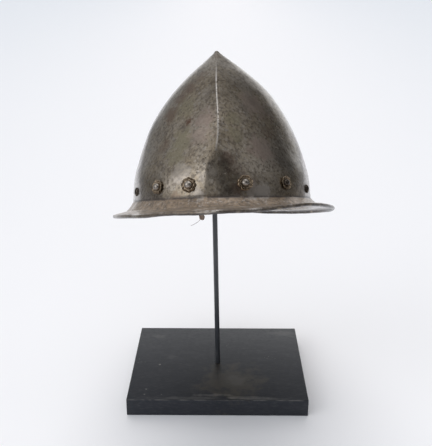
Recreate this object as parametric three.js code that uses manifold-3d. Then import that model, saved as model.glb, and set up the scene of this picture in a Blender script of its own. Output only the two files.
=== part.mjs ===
// A morion: a one-piece steel helmet with a keeled, pointed skull and a turned brim, on the plain stand
// that holds it up. The skull is open underneath. Rivets with brass rosettes ring its foot; they once
// held a leather lining band, of which one torn scrap is left.
//
// Millimetres, +Z up. The origin is the middle of the underside of the base. The near end of the keel
// points along -Y. Inside the helmet's own group the foot of the skull lies in the plane z = 0 and the
// skull's middle is on the z axis.

import * as THREE from 'three';
import { LoftGeometry } from 'three/addons/geometries/LoftGeometry.js';
import { mergeVertices } from 'three/addons/utils/BufferGeometryUtils.js';
import Module from 'manifold-3d';

// Skull
const SKULL_WIDTH = 187;
const SKULL_LENGTH = 226;
const SKULL_HEIGHT = 152;
const APEX_FORWARD = 30;
const KEEL_FALL = THREE.MathUtils.degToRad(27);
const STEEL = 1.4;

// Brim
const BRIM_WIDTH = 234.5;
const BRIM_ASIDE = 2.9;
const BRIM_LENGTH = 304;
const BRIM_DROP = 13.5;
const BRIM_CORNER_DROP = 8.5;
const BRIM_FLARE_RADIUS = 9;
const BRIM_POINT = THREE.MathUtils.degToRad(15);
const EDGE_ROLL = 3.8;

// Lining rivets and their rosettes
const RIVET_HEIGHT = 11;
const RIVET_HEAD = 8.4;
const RIVET_DOME = 3.8;
const RIVET_SHANK = 3.4;
const RIVET_CLINCH = 6.4;
const RIVET_CLINCH_TIP = 5.1;
const RIVET_CLINCH_THICKNESS = 1.2;
const ROSETTE_DIAMETER = 15.2;
const ROSETTE_NOTCH = 1;
const ROSETTE_CUP = 1.3;
const ROSETTE_THICKNESS = 0.6;
const ROSETTE_PETALS = 8;

// Torn scrap of the lining
const LEATHER = 1.5;
const SCRAP_LENGTH = 31;
const SCRAP_WIDTH = 6;

// Stand
const BASE_WIDTH = 200;
const BASE_DEPTH = 165;
const BASE_THICKNESS = 20;
const ROD_DIAMETER = 5.6;
const ROD_LENGTH = 357;
const ROD_SOCKET_DEPTH = 12;
const ROD_FORWARD = 3;
const ROD_LEAN = THREE.MathUtils.degToRad(1.06);

// How the helmet sits on the rod
const HELMET_TILT = THREE.MathUtils.degToRad(20);
const HELMET_ROLL = THREE.MathUtils.degToRad(1.9);
const HELMET_TURN = THREE.MathUtils.degToRad(1.5);
const APEX_ASIDE = 5;

// Clearances. GAP is left between two pieces, SEAT_GAP between the rod's end and the steel over it.
// Flat facets lie up to FACET_SAG inside the true curve.
const GAP = 0.3;
const SEAT_GAP = 0.35;
const FACET_SAG = 0.4;

// Fineness of the facets. ROLL_STOP is how far the rolled edge's last row stays short of the inner
// face, in radians; APEX_ROWS is how many of the innermost rows can lie over the rod's end.
const COLUMNS_PER_QUARTER = 14;
const ROLL_ROWS = 8;
const ROLL_STOP = 0.2;
const APEX_ROWS = 8;
const DOME_ROWS = 5;
const RIVET_SIDES = 10;
const ROD_SIDES = 16;
const SOCKET_SIDES = 24;
const PUNCH_LENGTH = 12;
const SAMPLE_STEP = 0.004;
const BISECTIONS = 40;
const MERGE_DISTANCE = 1e-4;

// Outline of the skull by height. rise is a share of SKULL_HEIGHT; half, near and far are shares of the
// half width and of the runs from the apex to the two ends of the keel; wide is how far the widest line
// has moved towards the apex; keel is a share of KEEL_FALL; lean moves the flanks sideways and bend the
// near end of the keel, as shares of the half width.
const SKULL_TABLE = [
  { rise: 0.00, half: 1.000, near: 1.000, far: 1.000, wide: 0.00, keel: 0.00, lean: 0.016, bend: 0.000 },
  { rise: 0.06, half: 0.997, near: 0.997, far: 0.997, wide: 0.01, keel: 0.05, lean: 0.016, bend: 0.000 },
  { rise: 0.13, half: 0.985, near: 0.988, far: 0.986, wide: 0.05, keel: 0.16, lean: 0.016, bend: 0.000 },
  { rise: 0.19, half: 0.965, near: 0.972, far: 0.968, wide: 0.09, keel: 0.34, lean: 0.016, bend: 0.000 },
  { rise: 0.29, half: 0.917, near: 0.930, far: 0.922, wide: 0.17, keel: 0.62, lean: 0.018, bend: 0.000 },
  { rise: 0.39, half: 0.859, near: 0.872, far: 0.862, wide: 0.26, keel: 0.80, lean: 0.018, bend: 0.016 },
  { rise: 0.49, half: 0.789, near: 0.800, far: 0.788, wide: 0.37, keel: 0.90, lean: 0.017, bend: 0.018 },
  { rise: 0.58, half: 0.705, near: 0.716, far: 0.702, wide: 0.48, keel: 0.96, lean: 0.020, bend: 0.011 },
  { rise: 0.67, half: 0.600, near: 0.610, far: 0.598, wide: 0.58, keel: 1.00, lean: 0.023, bend: 0.004 },
  { rise: 0.75, half: 0.487, near: 0.495, far: 0.487, wide: 0.68, keel: 1.00, lean: 0.024, bend: 0.000 },
  { rise: 0.83, half: 0.350, near: 0.356, far: 0.352, wide: 0.78, keel: 1.00, lean: 0.020, bend: 0.000 },
  { rise: 0.90, half: 0.212, near: 0.216, far: 0.216, wide: 0.87, keel: 1.00, lean: 0.013, bend: 0.000 },
  { rise: 0.96, half: 0.085, near: 0.088, far: 0.088, wide: 0.95, keel: 1.00, lean: 0.006, bend: 0.000 },
  { rise: 0.985, half: 0.034, near: 0.036, far: 0.036, wide: 0.98, keel: 0.90, lean: 0.003, bend: 0.000 },
  { rise: 0.995, half: 0.018, near: 0.020, far: 0.018, wide: 1.00, keel: 0.60, lean: 0.000, bend: 0.000 },
  { rise: 1.00, half: 0.006, near: 0.007, far: 0.005, wide: 1.00, keel: 0.00, lean: 0.000, bend: 0.000 },
];

// Rows of the shell: levels of the skull as rises, and places across the brim from its corner to its
// edge. The inner face has none of the first two levels.
const OUTER_RISES = [
  0.995, 0.985, 0.96, 0.92, 0.87, 0.81, 0.74, 0.67, 0.59, 0.51, 0.42, 0.33, 0.24, 0.16, 0.08,
];
const INNER_RISES = OUTER_RISES.slice(2);
const FLARE_SHARES = [0, 0.125, 0.25, 0.375, 0.5, 0.75];

// Drop of the brim's edge round the helmet, as shares of BRIM_DROP. The edge is bent up at the near
// right. around runs from the near end of the keel through the right side.
const BRIM_TABLE = [
  { around: 0.000, drop: 1.13 },
  { around: 0.040, drop: 1.08 },
  { around: 0.068, drop: 0.95 },
  { around: 0.100, drop: 0.79 },
  { around: 0.135, drop: 0.65 },
  { around: 0.170, drop: 0.71 },
  { around: 0.228, drop: 0.86 },
  { around: 0.290, drop: 1.00 },
  { around: 0.357, drop: 1.02 },
  { around: 0.415, drop: 0.94 },
  { around: 0.450, drop: 0.79 },
  { around: 0.505, drop: 0.78 },
  { around: 0.560, drop: 0.86 },
  { around: 0.615, drop: 0.97 },
  { around: 0.680, drop: 1.06 },
  { around: 0.750, drop: 1.12 },
  { around: 0.850, drop: 1.24 },
  { around: 0.892, drop: 1.24 },
  { around: 0.940, drop: 1.15 },
  { around: 0.970, drop: 1.17 },
  { around: 1.000, drop: 1.13 },
];

// Rivets round the foot. azimuth is in degrees from the near end of the keel towards the right, height
// a share of RIVET_HEIGHT; two rivets have lost their rosettes.
const RIVET_TABLE = [
  { azimuth: -59.0, height: 0.76, rosette: false },
  { azimuth: -32.9, height: 0.95, rosette: true },
  { azimuth: -13.6, height: 0.98, rosette: true },
  { azimuth: 13.4, height: 1.05, rosette: true },
  { azimuth: 38.3, height: 1.10, rosette: true },
  { azimuth: 64.0, height: 0.72, rosette: false },
  { azimuth: 110.0, height: 0.98, rosette: true },
  { azimuth: 140.0, height: 1.02, rosette: true },
  { azimuth: 166.0, height: 0.96, rosette: true },
  { azimuth: 193.5, height: 1.00, rosette: true },
  { azimuth: 221.0, height: 1.04, rosette: true },
  { azimuth: 249.0, height: 0.98, rosette: true },
];
const SCRAP_RIVET = 2;

// The scrap from the rivet down to its torn end. down is a share of SCRAP_LENGTH, aside and in are
// shares of it too, width a share of SCRAP_WIDTH.
const SCRAP_TABLE = [
  { down: -0.16, aside: -0.06, inward: 0.00, width: 0.75 },
  { down: -0.02, aside: 0.00, inward: 0.00, width: 1.25 },
  { down: 0.16, aside: 0.05, inward: 0.01, width: 1.20 },
  { down: 0.38, aside: 0.14, inward: 0.06, width: 0.85 },
  { down: 0.62, aside: 0.22, inward: 0.14, width: 0.70 },
  { down: 0.82, aside: 0.27, inward: 0.22, width: 0.80 },
  { down: 0.95, aside: 0.30, inward: 0.28, width: 0.95 },
  { down: 1.00, aside: 0.31, inward: 0.30, width: 0.55 },
];

const COLUMNS = 4 * COLUMNS_PER_QUARTER;
const HALF_WIDTH = SKULL_WIDTH / 2;
const NEAR_RUN = SKULL_LENGTH / 2 - APEX_FORWARD;
const FAR_RUN = SKULL_LENGTH / 2 + APEX_FORWARD;
const ROLL_RADIUS = EDGE_ROLL / 2;
const QUARTER_WEIGHT = Math.SQRT1_2;

const wasm = await Module();
wasm.setup();

// Smooth curve through one column of a table, without overshoot.
function tableCurve(table, key, column) {
  const x = table.map((row) => row[key]);
  const y = table.map((row) => row[column]);
  const last = x.length - 1;
  const slope = x.slice(1).map((value, i) => (y[i + 1] - y[i]) / (value - x[i]));
  const tangent = x.map((_, i) => {
    if (i === 0) return slope[0];
    if (i === last) return slope[last - 1];
    const product = slope[i - 1] * slope[i];
    return product <= 0 ? 0 : (2 * product) / (slope[i - 1] + slope[i]);
  });
  return (value) => {
    const at = THREE.MathUtils.clamp(value, x[0], x[last]);
    let i = 0;
    while (i < last - 1 && at > x[i + 1]) i += 1;
    const step = x[i + 1] - x[i];
    const t = (at - x[i]) / step;
    const rest = 1 - t;
    return (1 + 2 * t) * rest * rest * y[i] + t * rest * rest * step * tangent[i]
      + t * t * (3 - 2 * t) * y[i + 1] - t * t * rest * step * tangent[i + 1];
  };
}

const skullCurve = {};
for (const column of ['half', 'near', 'far', 'wide', 'keel', 'lean', 'bend']) {
  skullCurve[column] = tableCurve(SKULL_TABLE, 'rise', column);
}
const brimDrop = tableCurve(BRIM_TABLE, 'around', 'drop');

// Point of a level outline made of four conic quarters. around runs from the near end of the keel (0)
// through the right side (0.25), the far end (0.5) and the left side (0.75).
function outlinePoint(around, outline) {
  const quarter = Math.floor(around * 4) % 4;
  const share = around * 4 - Math.floor(around * 4);
  const right = quarter < 2;
  const near = quarter === 0 || quarter === 3;
  const fromEnd = quarter === 0 || quarter === 2 ? share : 1 - share;
  const sideX = right ? outline.right : outline.left;
  const endY = near ? outline.nearY : outline.farY;
  const inward = Math.sign(outline.wideY - endY);
  const cornerY = endY + inward * Math.abs(sideX) * Math.tan(outline.fall);
  const a = (1 - fromEnd) * (1 - fromEnd);
  const b = 2 * QUARTER_WEIGHT * fromEnd * (1 - fromEnd);
  const c = fromEnd * fromEnd;
  const sum = a + b + c;
  const endX = near ? outline.bend : 0;
  return new THREE.Vector2(
    (a * endX + b * sideX + c * sideX) / sum,
    (a * endY + b * cornerY + c * outline.wideY) / sum,
  );
}

// Point of the skull's outer face. rise is a share of its height.
function skullPoint(rise, around) {
  const half = HALF_WIDTH * skullCurve.half(rise);
  const lean = HALF_WIDTH * skullCurve.lean(rise);
  const plan = outlinePoint(around, {
    right: half + lean,
    left: lean - half,
    nearY: -APEX_FORWARD - NEAR_RUN * skullCurve.near(rise),
    farY: -APEX_FORWARD + FAR_RUN * skullCurve.far(rise),
    wideY: -APEX_FORWARD * skullCurve.wide(rise),
    fall: KEEL_FALL * skullCurve.keel(rise),
    bend: HALF_WIDTH * skullCurve.bend(rise),
  });
  return new THREE.Vector3(plan.x, plan.y, SKULL_HEIGHT * rise);
}

// Section of the brim at one place round the helmet: where the wall ends, which way is out, how long
// the brim is there and how it falls.
function brimSection(around) {
  const foot = skullPoint(0, around);
  const edge = outlinePoint(around, {
    right: BRIM_ASIDE + BRIM_WIDTH / 2,
    left: BRIM_ASIDE - BRIM_WIDTH / 2,
    nearY: -BRIM_LENGTH / 2,
    farY: BRIM_LENGTH / 2,
    wideY: 0,
    fall: BRIM_POINT,
    bend: 0,
  });
  const out = new THREE.Vector2(edge.x - foot.x, edge.y - foot.y);
  const reach = out.length() - ROLL_RADIUS;
  out.normalize();
  const drop = BRIM_DROP * brimDrop(around) - ROLL_RADIUS;
  const fall = Math.atan2(drop - BRIM_CORNER_DROP, reach);
  const tangentLength = BRIM_FLARE_RADIUS / Math.tan((Math.PI / 2 + fall) / 2);
  return { foot, out, reach, fall, tangentLength };
}

// Turns a distance out and a height of the brim's section into a point.
function brimPlace(section, distance, height) {
  return new THREE.Vector3(
    section.foot.x + section.out.x * distance,
    section.foot.y + section.out.y * distance,
    height,
  );
}

// Point of the brim's upper face. share 0 to 0.5 is the hollow flare, 0.5 to 1 the flat of the brim.
function brimPoint(share, around) {
  const section = brimSection(around);
  const { fall, tangentLength, reach } = section;
  if (share < 0.5) {
    const sweep = (Math.PI / 2 - fall) * share * 2;
    const top = tangentLength - BRIM_CORNER_DROP;
    return brimPlace(
      section,
      BRIM_FLARE_RADIUS * (1 - Math.cos(sweep)),
      top - BRIM_FLARE_RADIUS * Math.sin(sweep),
    );
  }
  const end = reach / Math.cos(fall);
  const along = THREE.MathUtils.lerp(tangentLength, end, share * 2 - 1);
  return brimPlace(section, along * Math.cos(fall), -BRIM_CORNER_DROP - along * Math.sin(fall));
}

// Point of the edge, which is rolled under. sweep is the angle turned from the brim's upper face.
function rollPoint(sweep, around) {
  const section = brimSection(around);
  const edge = brimPoint(1, around);
  const angle = Math.PI / 2 - section.fall - sweep;
  const side = ROLL_RADIUS * (Math.cos(angle) - Math.sin(section.fall));
  const up = ROLL_RADIUS * (Math.sin(angle) - Math.cos(section.fall));
  return new THREE.Vector3(edge.x + section.out.x * side, edge.y + section.out.y * side, edge.z + up);
}

function spread(from, to, count) {
  return Array.from({ length: count }, (_, i) => THREE.MathUtils.lerp(from, to, i / (count - 1)));
}

// One ring of points round the helmet. It runs clockwise seen from above, so that faces point outwards.
function ring(pointAt) {
  return Array.from({ length: COLUMNS }, (_, i) => pointAt((COLUMNS - i) / COLUMNS % 1));
}

// A ring shrunk to one point, which closes the shell at an apex.
function pole(point) {
  return ring(() => point.clone());
}

// Rings moved inwards by a thickness, square to the surface.
function offsetRings(rings, thickness) {
  const along = new THREE.Vector3();
  const across = new THREE.Vector3();
  return rings.map((points, row) => points.map((point, column) => {
    const above = rings[Math.max(row - 1, 0)][column];
    const below = rings[Math.min(row + 1, rings.length - 1)][column];
    along.subVectors(below, above);
    across.subVectors(points[(column + 1) % COLUMNS], points[(column + COLUMNS - 1) % COLUMNS]);
    return point.clone().addScaledVector(along.cross(across).normalize(), thickness);
  }));
}

// Closed mesh as a solid. Faces that have shrunk to a line at a pole are left out.
function toSolid(geometry) {
  const bare = new THREE.BufferGeometry();
  bare.setAttribute('position', geometry.attributes.position);
  bare.setIndex(geometry.index);
  const merged = mergeVertices(bare, MERGE_DISTANCE);
  const corners = Array.from(merged.index.array);
  const triangles = [];
  for (let i = 0; i < corners.length; i += 3) {
    const [a, b, c] = corners.slice(i, i + 3);
    if (a !== b && b !== c && c !== a) triangles.push(a, b, c);
  }
  return new wasm.Manifold(new wasm.Mesh({
    numProp: 3,
    vertProperties: new Float32Array(merged.attributes.position.array),
    triVerts: new Uint32Array(triangles),
  }));
}

function toGeometry(solid) {
  const mesh = solid.getMesh();
  const geometry = new THREE.BufferGeometry();
  geometry.setAttribute('position', new THREE.BufferAttribute(new Float32Array(mesh.vertProperties), 3));
  geometry.setIndex(new THREE.BufferAttribute(new Uint32Array(mesh.triVerts), 1));
  geometry.computeVertexNormals();
  return geometry;
}

function addPiece(parent, name, geometry, material) {
  const mesh = new THREE.Mesh(geometry, material);
  mesh.name = name;
  parent.add(mesh);
  return mesh;
}

// Skull and brim as one shell of even thickness, from the apex down, round the rolled edge and up
// again inside. Inside, the last rings close to a point under the apex.
function shellSections() {
  const apex = new THREE.Vector3(0, -APEX_FORWARD, SKULL_HEIGHT);
  const outer = OUTER_RISES.map((rise) => ring((around) => skullPoint(rise, around)));
  const flare = FLARE_SHARES.map((share) => ring((around) => brimPoint(share, around)));
  const innerTop = INNER_RISES.map((rise) => ring((around) => skullPoint(rise, around)));
  const edge = ring((around) => brimPoint(1, around));
  const rollEnd = 3 * Math.PI / 2 + Math.asin(1 - STEEL / ROLL_RADIUS) - ROLL_STOP;
  const sweeps = spread(0, rollEnd, ROLL_ROWS);
  const roll = sweeps.map((sweep) => ring((around) => rollPoint(sweep, around)));
  const inside = offsetRings([...innerTop, ...flare, edge], STEEL);
  inside.pop();
  const inner = inside.reverse();
  const apexInside = apex.clone();
  apexInside.z -= STEEL / Math.cos(KEEL_FALL);
  const last = inner[inner.length - 1];
  const halfWay = last.map((point) => point.clone().add(apexInside).divideScalar(2));
  return [pole(apex), ...outer, ...flare, ...roll, ...inner, halfWay, pole(apexInside)];
}

// Where a rivet sits: the point of the outer face, and the directions out of and up the wall there.
function rivetSeat(row) {
  const rise = (RIVET_HEIGHT * row.height) / SKULL_HEIGHT;
  const fullTurn = 2 * Math.PI;
  const wanted = THREE.MathUtils.euclideanModulo(THREE.MathUtils.degToRad(row.azimuth), fullTurn);
  let low = 0;
  let high = 1;
  for (let i = 0; i < BISECTIONS; i += 1) {
    const middle = (low + high) / 2;
    const tried = skullPoint(rise, middle);
    const azimuth = THREE.MathUtils.euclideanModulo(Math.atan2(tried.x, -tried.y), fullTurn);
    if (azimuth < wanted) low = middle;
    else high = middle;
  }
  const point = skullPoint(rise, low);
  const left = skullPoint(rise, Math.max(low - SAMPLE_STEP, 0));
  const right = skullPoint(rise, Math.min(low + SAMPLE_STEP, 1 - SAMPLE_STEP));
  const across = right.sub(left);
  const up = skullPoint(rise + SAMPLE_STEP, low).sub(point);
  const out = across.cross(up).normalize();
  return { point, out };
}

function placeOnWall(mesh, seat) {
  mesh.position.copy(seat.point);
  const level = new THREE.Vector3(-seat.out.y, seat.out.x, 0).normalize();
  const up = new THREE.Vector3().crossVectors(seat.out, level);
  mesh.quaternion.setFromRotationMatrix(new THREE.Matrix4().makeBasis(level, up, seat.out));
}

// A domed head on a shank that passes through the wall and is clinched inside. z is out of the wall.
function rivetGeometry(headSeat, grip) {
  const headRadius = RIVET_HEAD / 2;
  const profile = [new THREE.Vector2(0, -grip - RIVET_CLINCH_THICKNESS)];
  profile.push(new THREE.Vector2(RIVET_CLINCH_TIP / 2, -grip - RIVET_CLINCH_THICKNESS));
  profile.push(new THREE.Vector2(RIVET_CLINCH / 2, -grip));
  profile.push(new THREE.Vector2(RIVET_SHANK / 2, -grip));
  profile.push(new THREE.Vector2(RIVET_SHANK / 2, headSeat));
  for (const angle of spread(0, Math.PI / 2, DOME_ROWS)) {
    const radius = angle === Math.PI / 2 ? 0 : headRadius * Math.cos(angle);
    profile.push(new THREE.Vector2(radius, headSeat + RIVET_DOME * Math.sin(angle)));
  }
  return new THREE.LatheGeometry(profile, RIVET_SIDES).rotateX(Math.PI / 2);
}

// A thin washer cut into petals, cupped up round the rivet's head.
function rosetteGeometry() {
  const hole = RIVET_SHANK / 2 + GAP;
  const flat = RIVET_HEAD / 2 + GAP;
  const sections = [];
  const steps = 2 * ROSETTE_PETALS;
  for (let i = 0; i <= steps; i += 1) {
    const angle = (2 * Math.PI * (i % steps)) / steps;
    const edge = ROSETTE_DIAMETER / 2 - (i % 2 === 0 ? 0 : ROSETTE_NOTCH);
    const lower = [[hole, GAP], [flat, GAP], [edge, GAP + ROSETTE_CUP]];
    const upper = lower.map(([radius, height]) => [radius, height + ROSETTE_THICKNESS]);
    sections.push([...upper, ...lower.reverse()].map(([radius, height]) => (
      new THREE.Vector3(radius * Math.cos(angle), radius * Math.sin(angle), height)
    )));
  }
  return new LoftGeometry(sections);
}

// A torn strip of leather, caught under a rivet inside the wall. z is out of the wall, y up it.
function scrapSolid() {
  const innerFace = -STEEL - FACET_SAG - GAP;
  const sections = SCRAP_TABLE.map((row) => {
    const x = SCRAP_LENGTH * row.aside;
    const y = -SCRAP_LENGTH * row.down;
    const z = innerFace - SCRAP_LENGTH * row.inward;
    const half = (SCRAP_WIDTH * row.width) / 2;
    return [
      new THREE.Vector3(x - half, y, z - LEATHER),
      new THREE.Vector3(x + half, y, z - LEATHER),
      new THREE.Vector3(x + half, y, z),
      new THREE.Vector3(x - half, y, z),
    ];
  });
  const strip = toSolid(new LoftGeometry(sections, { capStart: true, capEnd: true }));
  return strip.subtract(toSolid(holeCutter(SCRAP_LENGTH)));
}

// Cylinder along z that leaves a shank clear by the gap.
function holeCutter(length) {
  const radius = (RIVET_SHANK / 2 + GAP) / Math.cos(Math.PI / RIVET_SIDES);
  return new THREE.CylinderGeometry(radius, radius, length, RIVET_SIDES).rotateX(Math.PI / 2);
}

function standardMaterial(color, roughness, metalness) {
  return new THREE.MeshStandardMaterial({ color, roughness, metalness });
}

// Stand: the base board with its socket, and the rod.
const stand = new THREE.Group();
const rodFoot = new THREE.Vector3(0, -ROD_FORWARD, BASE_THICKNESS);
const rodAxis = new THREE.Vector3(-Math.sin(ROD_LEAN), 0, Math.cos(ROD_LEAN));
const rodRadius = ROD_DIAMETER / 2;

function baseGeometry() {
  const board = new THREE.BoxGeometry(BASE_WIDTH, BASE_DEPTH, BASE_THICKNESS);
  board.translate(0, 0, BASE_THICKNESS / 2);
  const radius = rodRadius + GAP;
  const socket = new THREE.CylinderGeometry(radius, radius, 2 * ROD_SOCKET_DEPTH, SOCKET_SIDES);
  socket.rotateX(Math.PI / 2).rotateY(-ROD_LEAN).translate(rodFoot.x, rodFoot.y, rodFoot.z);
  return toGeometry(toSolid(board).subtract(toSolid(socket)));
}

function rodGeometry() {
  const foot = GAP - ROD_SOCKET_DEPTH;
  const profile = [new THREE.Vector2(0, foot), new THREE.Vector2(rodRadius, foot)];
  for (const angle of spread(0, Math.PI / 2, DOME_ROWS)) {
    const radius = angle === Math.PI / 2 ? 0 : rodRadius * Math.cos(angle);
    profile.push(new THREE.Vector2(radius, ROD_LENGTH - rodRadius + rodRadius * Math.sin(angle)));
  }
  return new THREE.LatheGeometry(profile, ROD_SIDES).rotateX(Math.PI / 2);
}

addPiece(stand, 'stand_base', baseGeometry(), standardMaterial(0x34353a, 0.62, 0));
const rod = addPiece(stand, 'stand_rod', rodGeometry(), standardMaterial(0x2e3236, 0.45, 0.6));
rod.position.copy(rodFoot);
rod.rotation.y = -ROD_LEAN;

// The helmet hangs over the rod: it is lowered until the inside of the apex clears the rod's round end.
const helmet = new THREE.Group();
helmet.rotation.set(-HELMET_TILT, -HELMET_ROLL, -HELMET_TURN, 'ZXY');
const sections = shellSections();

function seatHelmet() {
  const rodTip = rodFoot.clone().addScaledVector(rodAxis, ROD_LENGTH - rodRadius);
  const apex = new THREE.Vector3(0, -APEX_FORWARD, SKULL_HEIGHT).applyEuler(helmet.rotation);
  const inside = sections.slice(-APEX_ROWS).flat();
  const place = new THREE.Vector3(rodTip.x + APEX_ASIDE - apex.x, rodTip.y - apex.y, 0);
  const reach = rodRadius + SEAT_GAP;
  place.z = -Infinity;
  for (const point of inside) {
    const turned = point.clone().applyEuler(helmet.rotation);
    const aside = Math.hypot(turned.x + place.x - rodTip.x, turned.y + place.y - rodTip.y);
    if (aside < reach) {
      place.z = Math.max(place.z, rodTip.z + Math.sqrt(reach * reach - aside * aside) - turned.z);
    }
  }
  return place;
}

helmet.position.copy(seatHelmet());

const steel = standardMaterial(0x6b645c, 0.42, 1);
const iron = standardMaterial(0x8a857e, 0.35, 1);
const brass = standardMaterial(0x8a6a38, 0.5, 1);
const leather = standardMaterial(0x6a4a2e, 0.85, 0);

let shell = toSolid(new LoftGeometry(sections));
RIVET_TABLE.forEach((row, index) => {
  const seat = rivetSeat(row);
  const number = String(index + 1).padStart(2, '0');
  const cutter = new THREE.Mesh(holeCutter(PUNCH_LENGTH));
  placeOnWall(cutter, seat);
  cutter.updateMatrix();
  shell = shell.subtract(toSolid(cutter.geometry.applyMatrix4(cutter.matrix)));

  const headSeat = row.rosette ? ROSETTE_THICKNESS + 2 * GAP : GAP;
  const grip = STEEL + FACET_SAG + GAP + (index === SCRAP_RIVET ? LEATHER + GAP : 0);
  placeOnWall(addPiece(helmet, `rivet_${number}`, rivetGeometry(headSeat, grip), iron), seat);
  if (row.rosette) placeOnWall(addPiece(helmet, `rosette_${number}`, rosetteGeometry(), brass), seat);
  if (index === SCRAP_RIVET) {
    placeOnWall(addPiece(helmet, 'lining_scrap', toGeometry(scrapSolid()), leather), seat);
  }
});
addPiece(helmet, 'skull_and_brim', toGeometry(shell), steel);

const group = new THREE.Group();
group.add(helmet, stand);

export default group;
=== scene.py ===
"""Morion helmet on its display stand.

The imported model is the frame. This script builds the finished skull and brim, the lining rivets with
their rosettes, the torn scrap of the lining and the stand in the same place, and gives each of them
its worn surface. A plain studio and the camera complete the scene. Blender works in metres; the sizes
below are in millimetres where a name or a docstring says so.
"""

import logging
import math
from dataclasses import dataclass, field
from enum import Enum, IntEnum
from typing import Callable, NamedTuple, Sequence

import bpy
import numpy as np
from mathutils import Matrix, Vector, noise


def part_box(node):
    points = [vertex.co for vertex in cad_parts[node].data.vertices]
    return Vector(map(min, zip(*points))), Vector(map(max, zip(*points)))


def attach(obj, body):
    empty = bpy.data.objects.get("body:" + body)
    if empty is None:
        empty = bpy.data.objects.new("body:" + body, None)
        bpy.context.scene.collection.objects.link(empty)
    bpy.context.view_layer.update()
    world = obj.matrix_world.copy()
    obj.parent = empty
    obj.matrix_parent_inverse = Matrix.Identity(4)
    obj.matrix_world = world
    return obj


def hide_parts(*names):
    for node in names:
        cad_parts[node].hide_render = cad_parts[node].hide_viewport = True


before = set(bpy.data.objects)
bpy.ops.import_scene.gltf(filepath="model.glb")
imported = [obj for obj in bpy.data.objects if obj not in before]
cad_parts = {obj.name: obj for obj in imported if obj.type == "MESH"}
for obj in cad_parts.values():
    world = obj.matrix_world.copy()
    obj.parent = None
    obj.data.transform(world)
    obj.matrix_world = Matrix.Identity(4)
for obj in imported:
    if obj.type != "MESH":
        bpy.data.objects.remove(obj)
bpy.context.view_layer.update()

BODY = "root"
MM = 0.001

Colour = tuple[float, float, float, float]

log = logging.getLogger("morion")


class Slot(Enum):
    """Material slots of the record."""

    STEEL = "old_steel"
    IRON = "rivet_iron"
    BRASS = "rosette_brass"
    LEATHER = "lining_leather"
    BOARD = "base_black"
    ROD = "rod_black"


class Wear(IntEnum):
    """Masks that the shell carries in the colour of its vertices, by their channel."""

    KEEL = 0
    RIM = 1
    BRIM = 2
    # Dirt and patina inside, a darker line along the brim's crease, and painted shade under the rolled
    # edge.
    DIRT = 3


# Tables of the form


SKULL_COLUMNS = ("rise", "half", "near", "far", "wide", "keel", "lean", "bend")
SKULL_TABLE = (
    (0.00, 1.000, 1.000, 1.000, 0.00, 0.00, 0.016, 0.000),
    (0.06, 0.997, 0.997, 0.997, 0.01, 0.05, 0.016, 0.000),
    (0.13, 0.985, 0.988, 0.986, 0.05, 0.16, 0.016, 0.000),
    (0.19, 0.965, 0.972, 0.968, 0.09, 0.34, 0.016, 0.000),
    (0.29, 0.917, 0.930, 0.922, 0.17, 0.62, 0.018, 0.000),
    (0.39, 0.859, 0.872, 0.862, 0.26, 0.80, 0.018, 0.016),
    (0.49, 0.789, 0.800, 0.788, 0.37, 0.90, 0.017, 0.018),
    (0.58, 0.705, 0.716, 0.702, 0.48, 0.96, 0.020, 0.011),
    (0.67, 0.600, 0.610, 0.598, 0.58, 1.00, 0.023, 0.004),
    (0.75, 0.487, 0.495, 0.487, 0.68, 1.00, 0.024, 0.000),
    (0.83, 0.350, 0.356, 0.352, 0.78, 1.00, 0.020, 0.000),
    (0.90, 0.212, 0.216, 0.216, 0.87, 1.00, 0.013, 0.000),
    (0.96, 0.085, 0.088, 0.088, 0.95, 1.00, 0.006, 0.000),
    (0.985, 0.034, 0.036, 0.036, 0.98, 0.90, 0.003, 0.000),
    (0.995, 0.018, 0.020, 0.018, 1.00, 0.60, 0.000, 0.000),
    (1.00, 0.006, 0.007, 0.005, 1.00, 0.00, 0.000, 0.000),
)
BRIM_TABLE = (
    (0.000, 1.13),
    (0.040, 1.08),
    (0.068, 0.95),
    (0.100, 0.79),
    (0.135, 0.65),
    (0.170, 0.71),
    (0.228, 0.86),
    (0.290, 1.00),
    (0.357, 1.02),
    (0.415, 0.94),
    (0.450, 0.79),
    (0.505, 0.78),
    (0.560, 0.86),
    (0.615, 0.97),
    (0.680, 1.06),
    (0.750, 1.12),
    (0.850, 1.24),
    (0.892, 1.24),
    (0.940, 1.15),
    (0.970, 1.17),
    (1.000, 1.13),
)


class RivetRow(NamedTuple):
    """One lining rivet: its seat, whether it has kept its rosette, their polish, size and dome."""

    azimuth: float
    height: float
    rosette: bool
    head_polish: float
    brass_polish: float
    size: float
    dome: float


RIVET_TABLE = (
    RivetRow(-59.0, 0.76, False, 0.0, 0.0, 1.05, 0.62),
    RivetRow(-32.9, 0.95, True, 0.7, 0.4, 0.92, 1.00),
    RivetRow(-13.6, 0.98, True, 1.0, 0.5, 0.97, 1.00),
    RivetRow(13.4, 1.05, True, 0.7, 1.0, 0.97, 1.00),
    RivetRow(38.3, 1.10, True, 0.0, 0.0, 0.88, 0.80),
    RivetRow(64.0, 0.72, False, 0.0, 0.0, 1.05, 0.62),
    RivetRow(110.0, 0.98, True, 0.6, 0.5, 1.00, 1.00),
    RivetRow(140.0, 1.02, True, 0.4, 0.8, 0.97, 1.00),
    RivetRow(166.0, 0.96, True, 0.7, 0.4, 1.03, 1.00),
    RivetRow(193.5, 1.00, True, 0.5, 0.6, 0.98, 1.00),
    RivetRow(221.0, 1.04, True, 0.8, 0.3, 1.02, 1.00),
    RivetRow(249.0, 0.98, True, 0.4, 0.5, 0.96, 1.00),
)
SCRAP_COLUMNS = ("down", "aside", "inward", "width")
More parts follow.
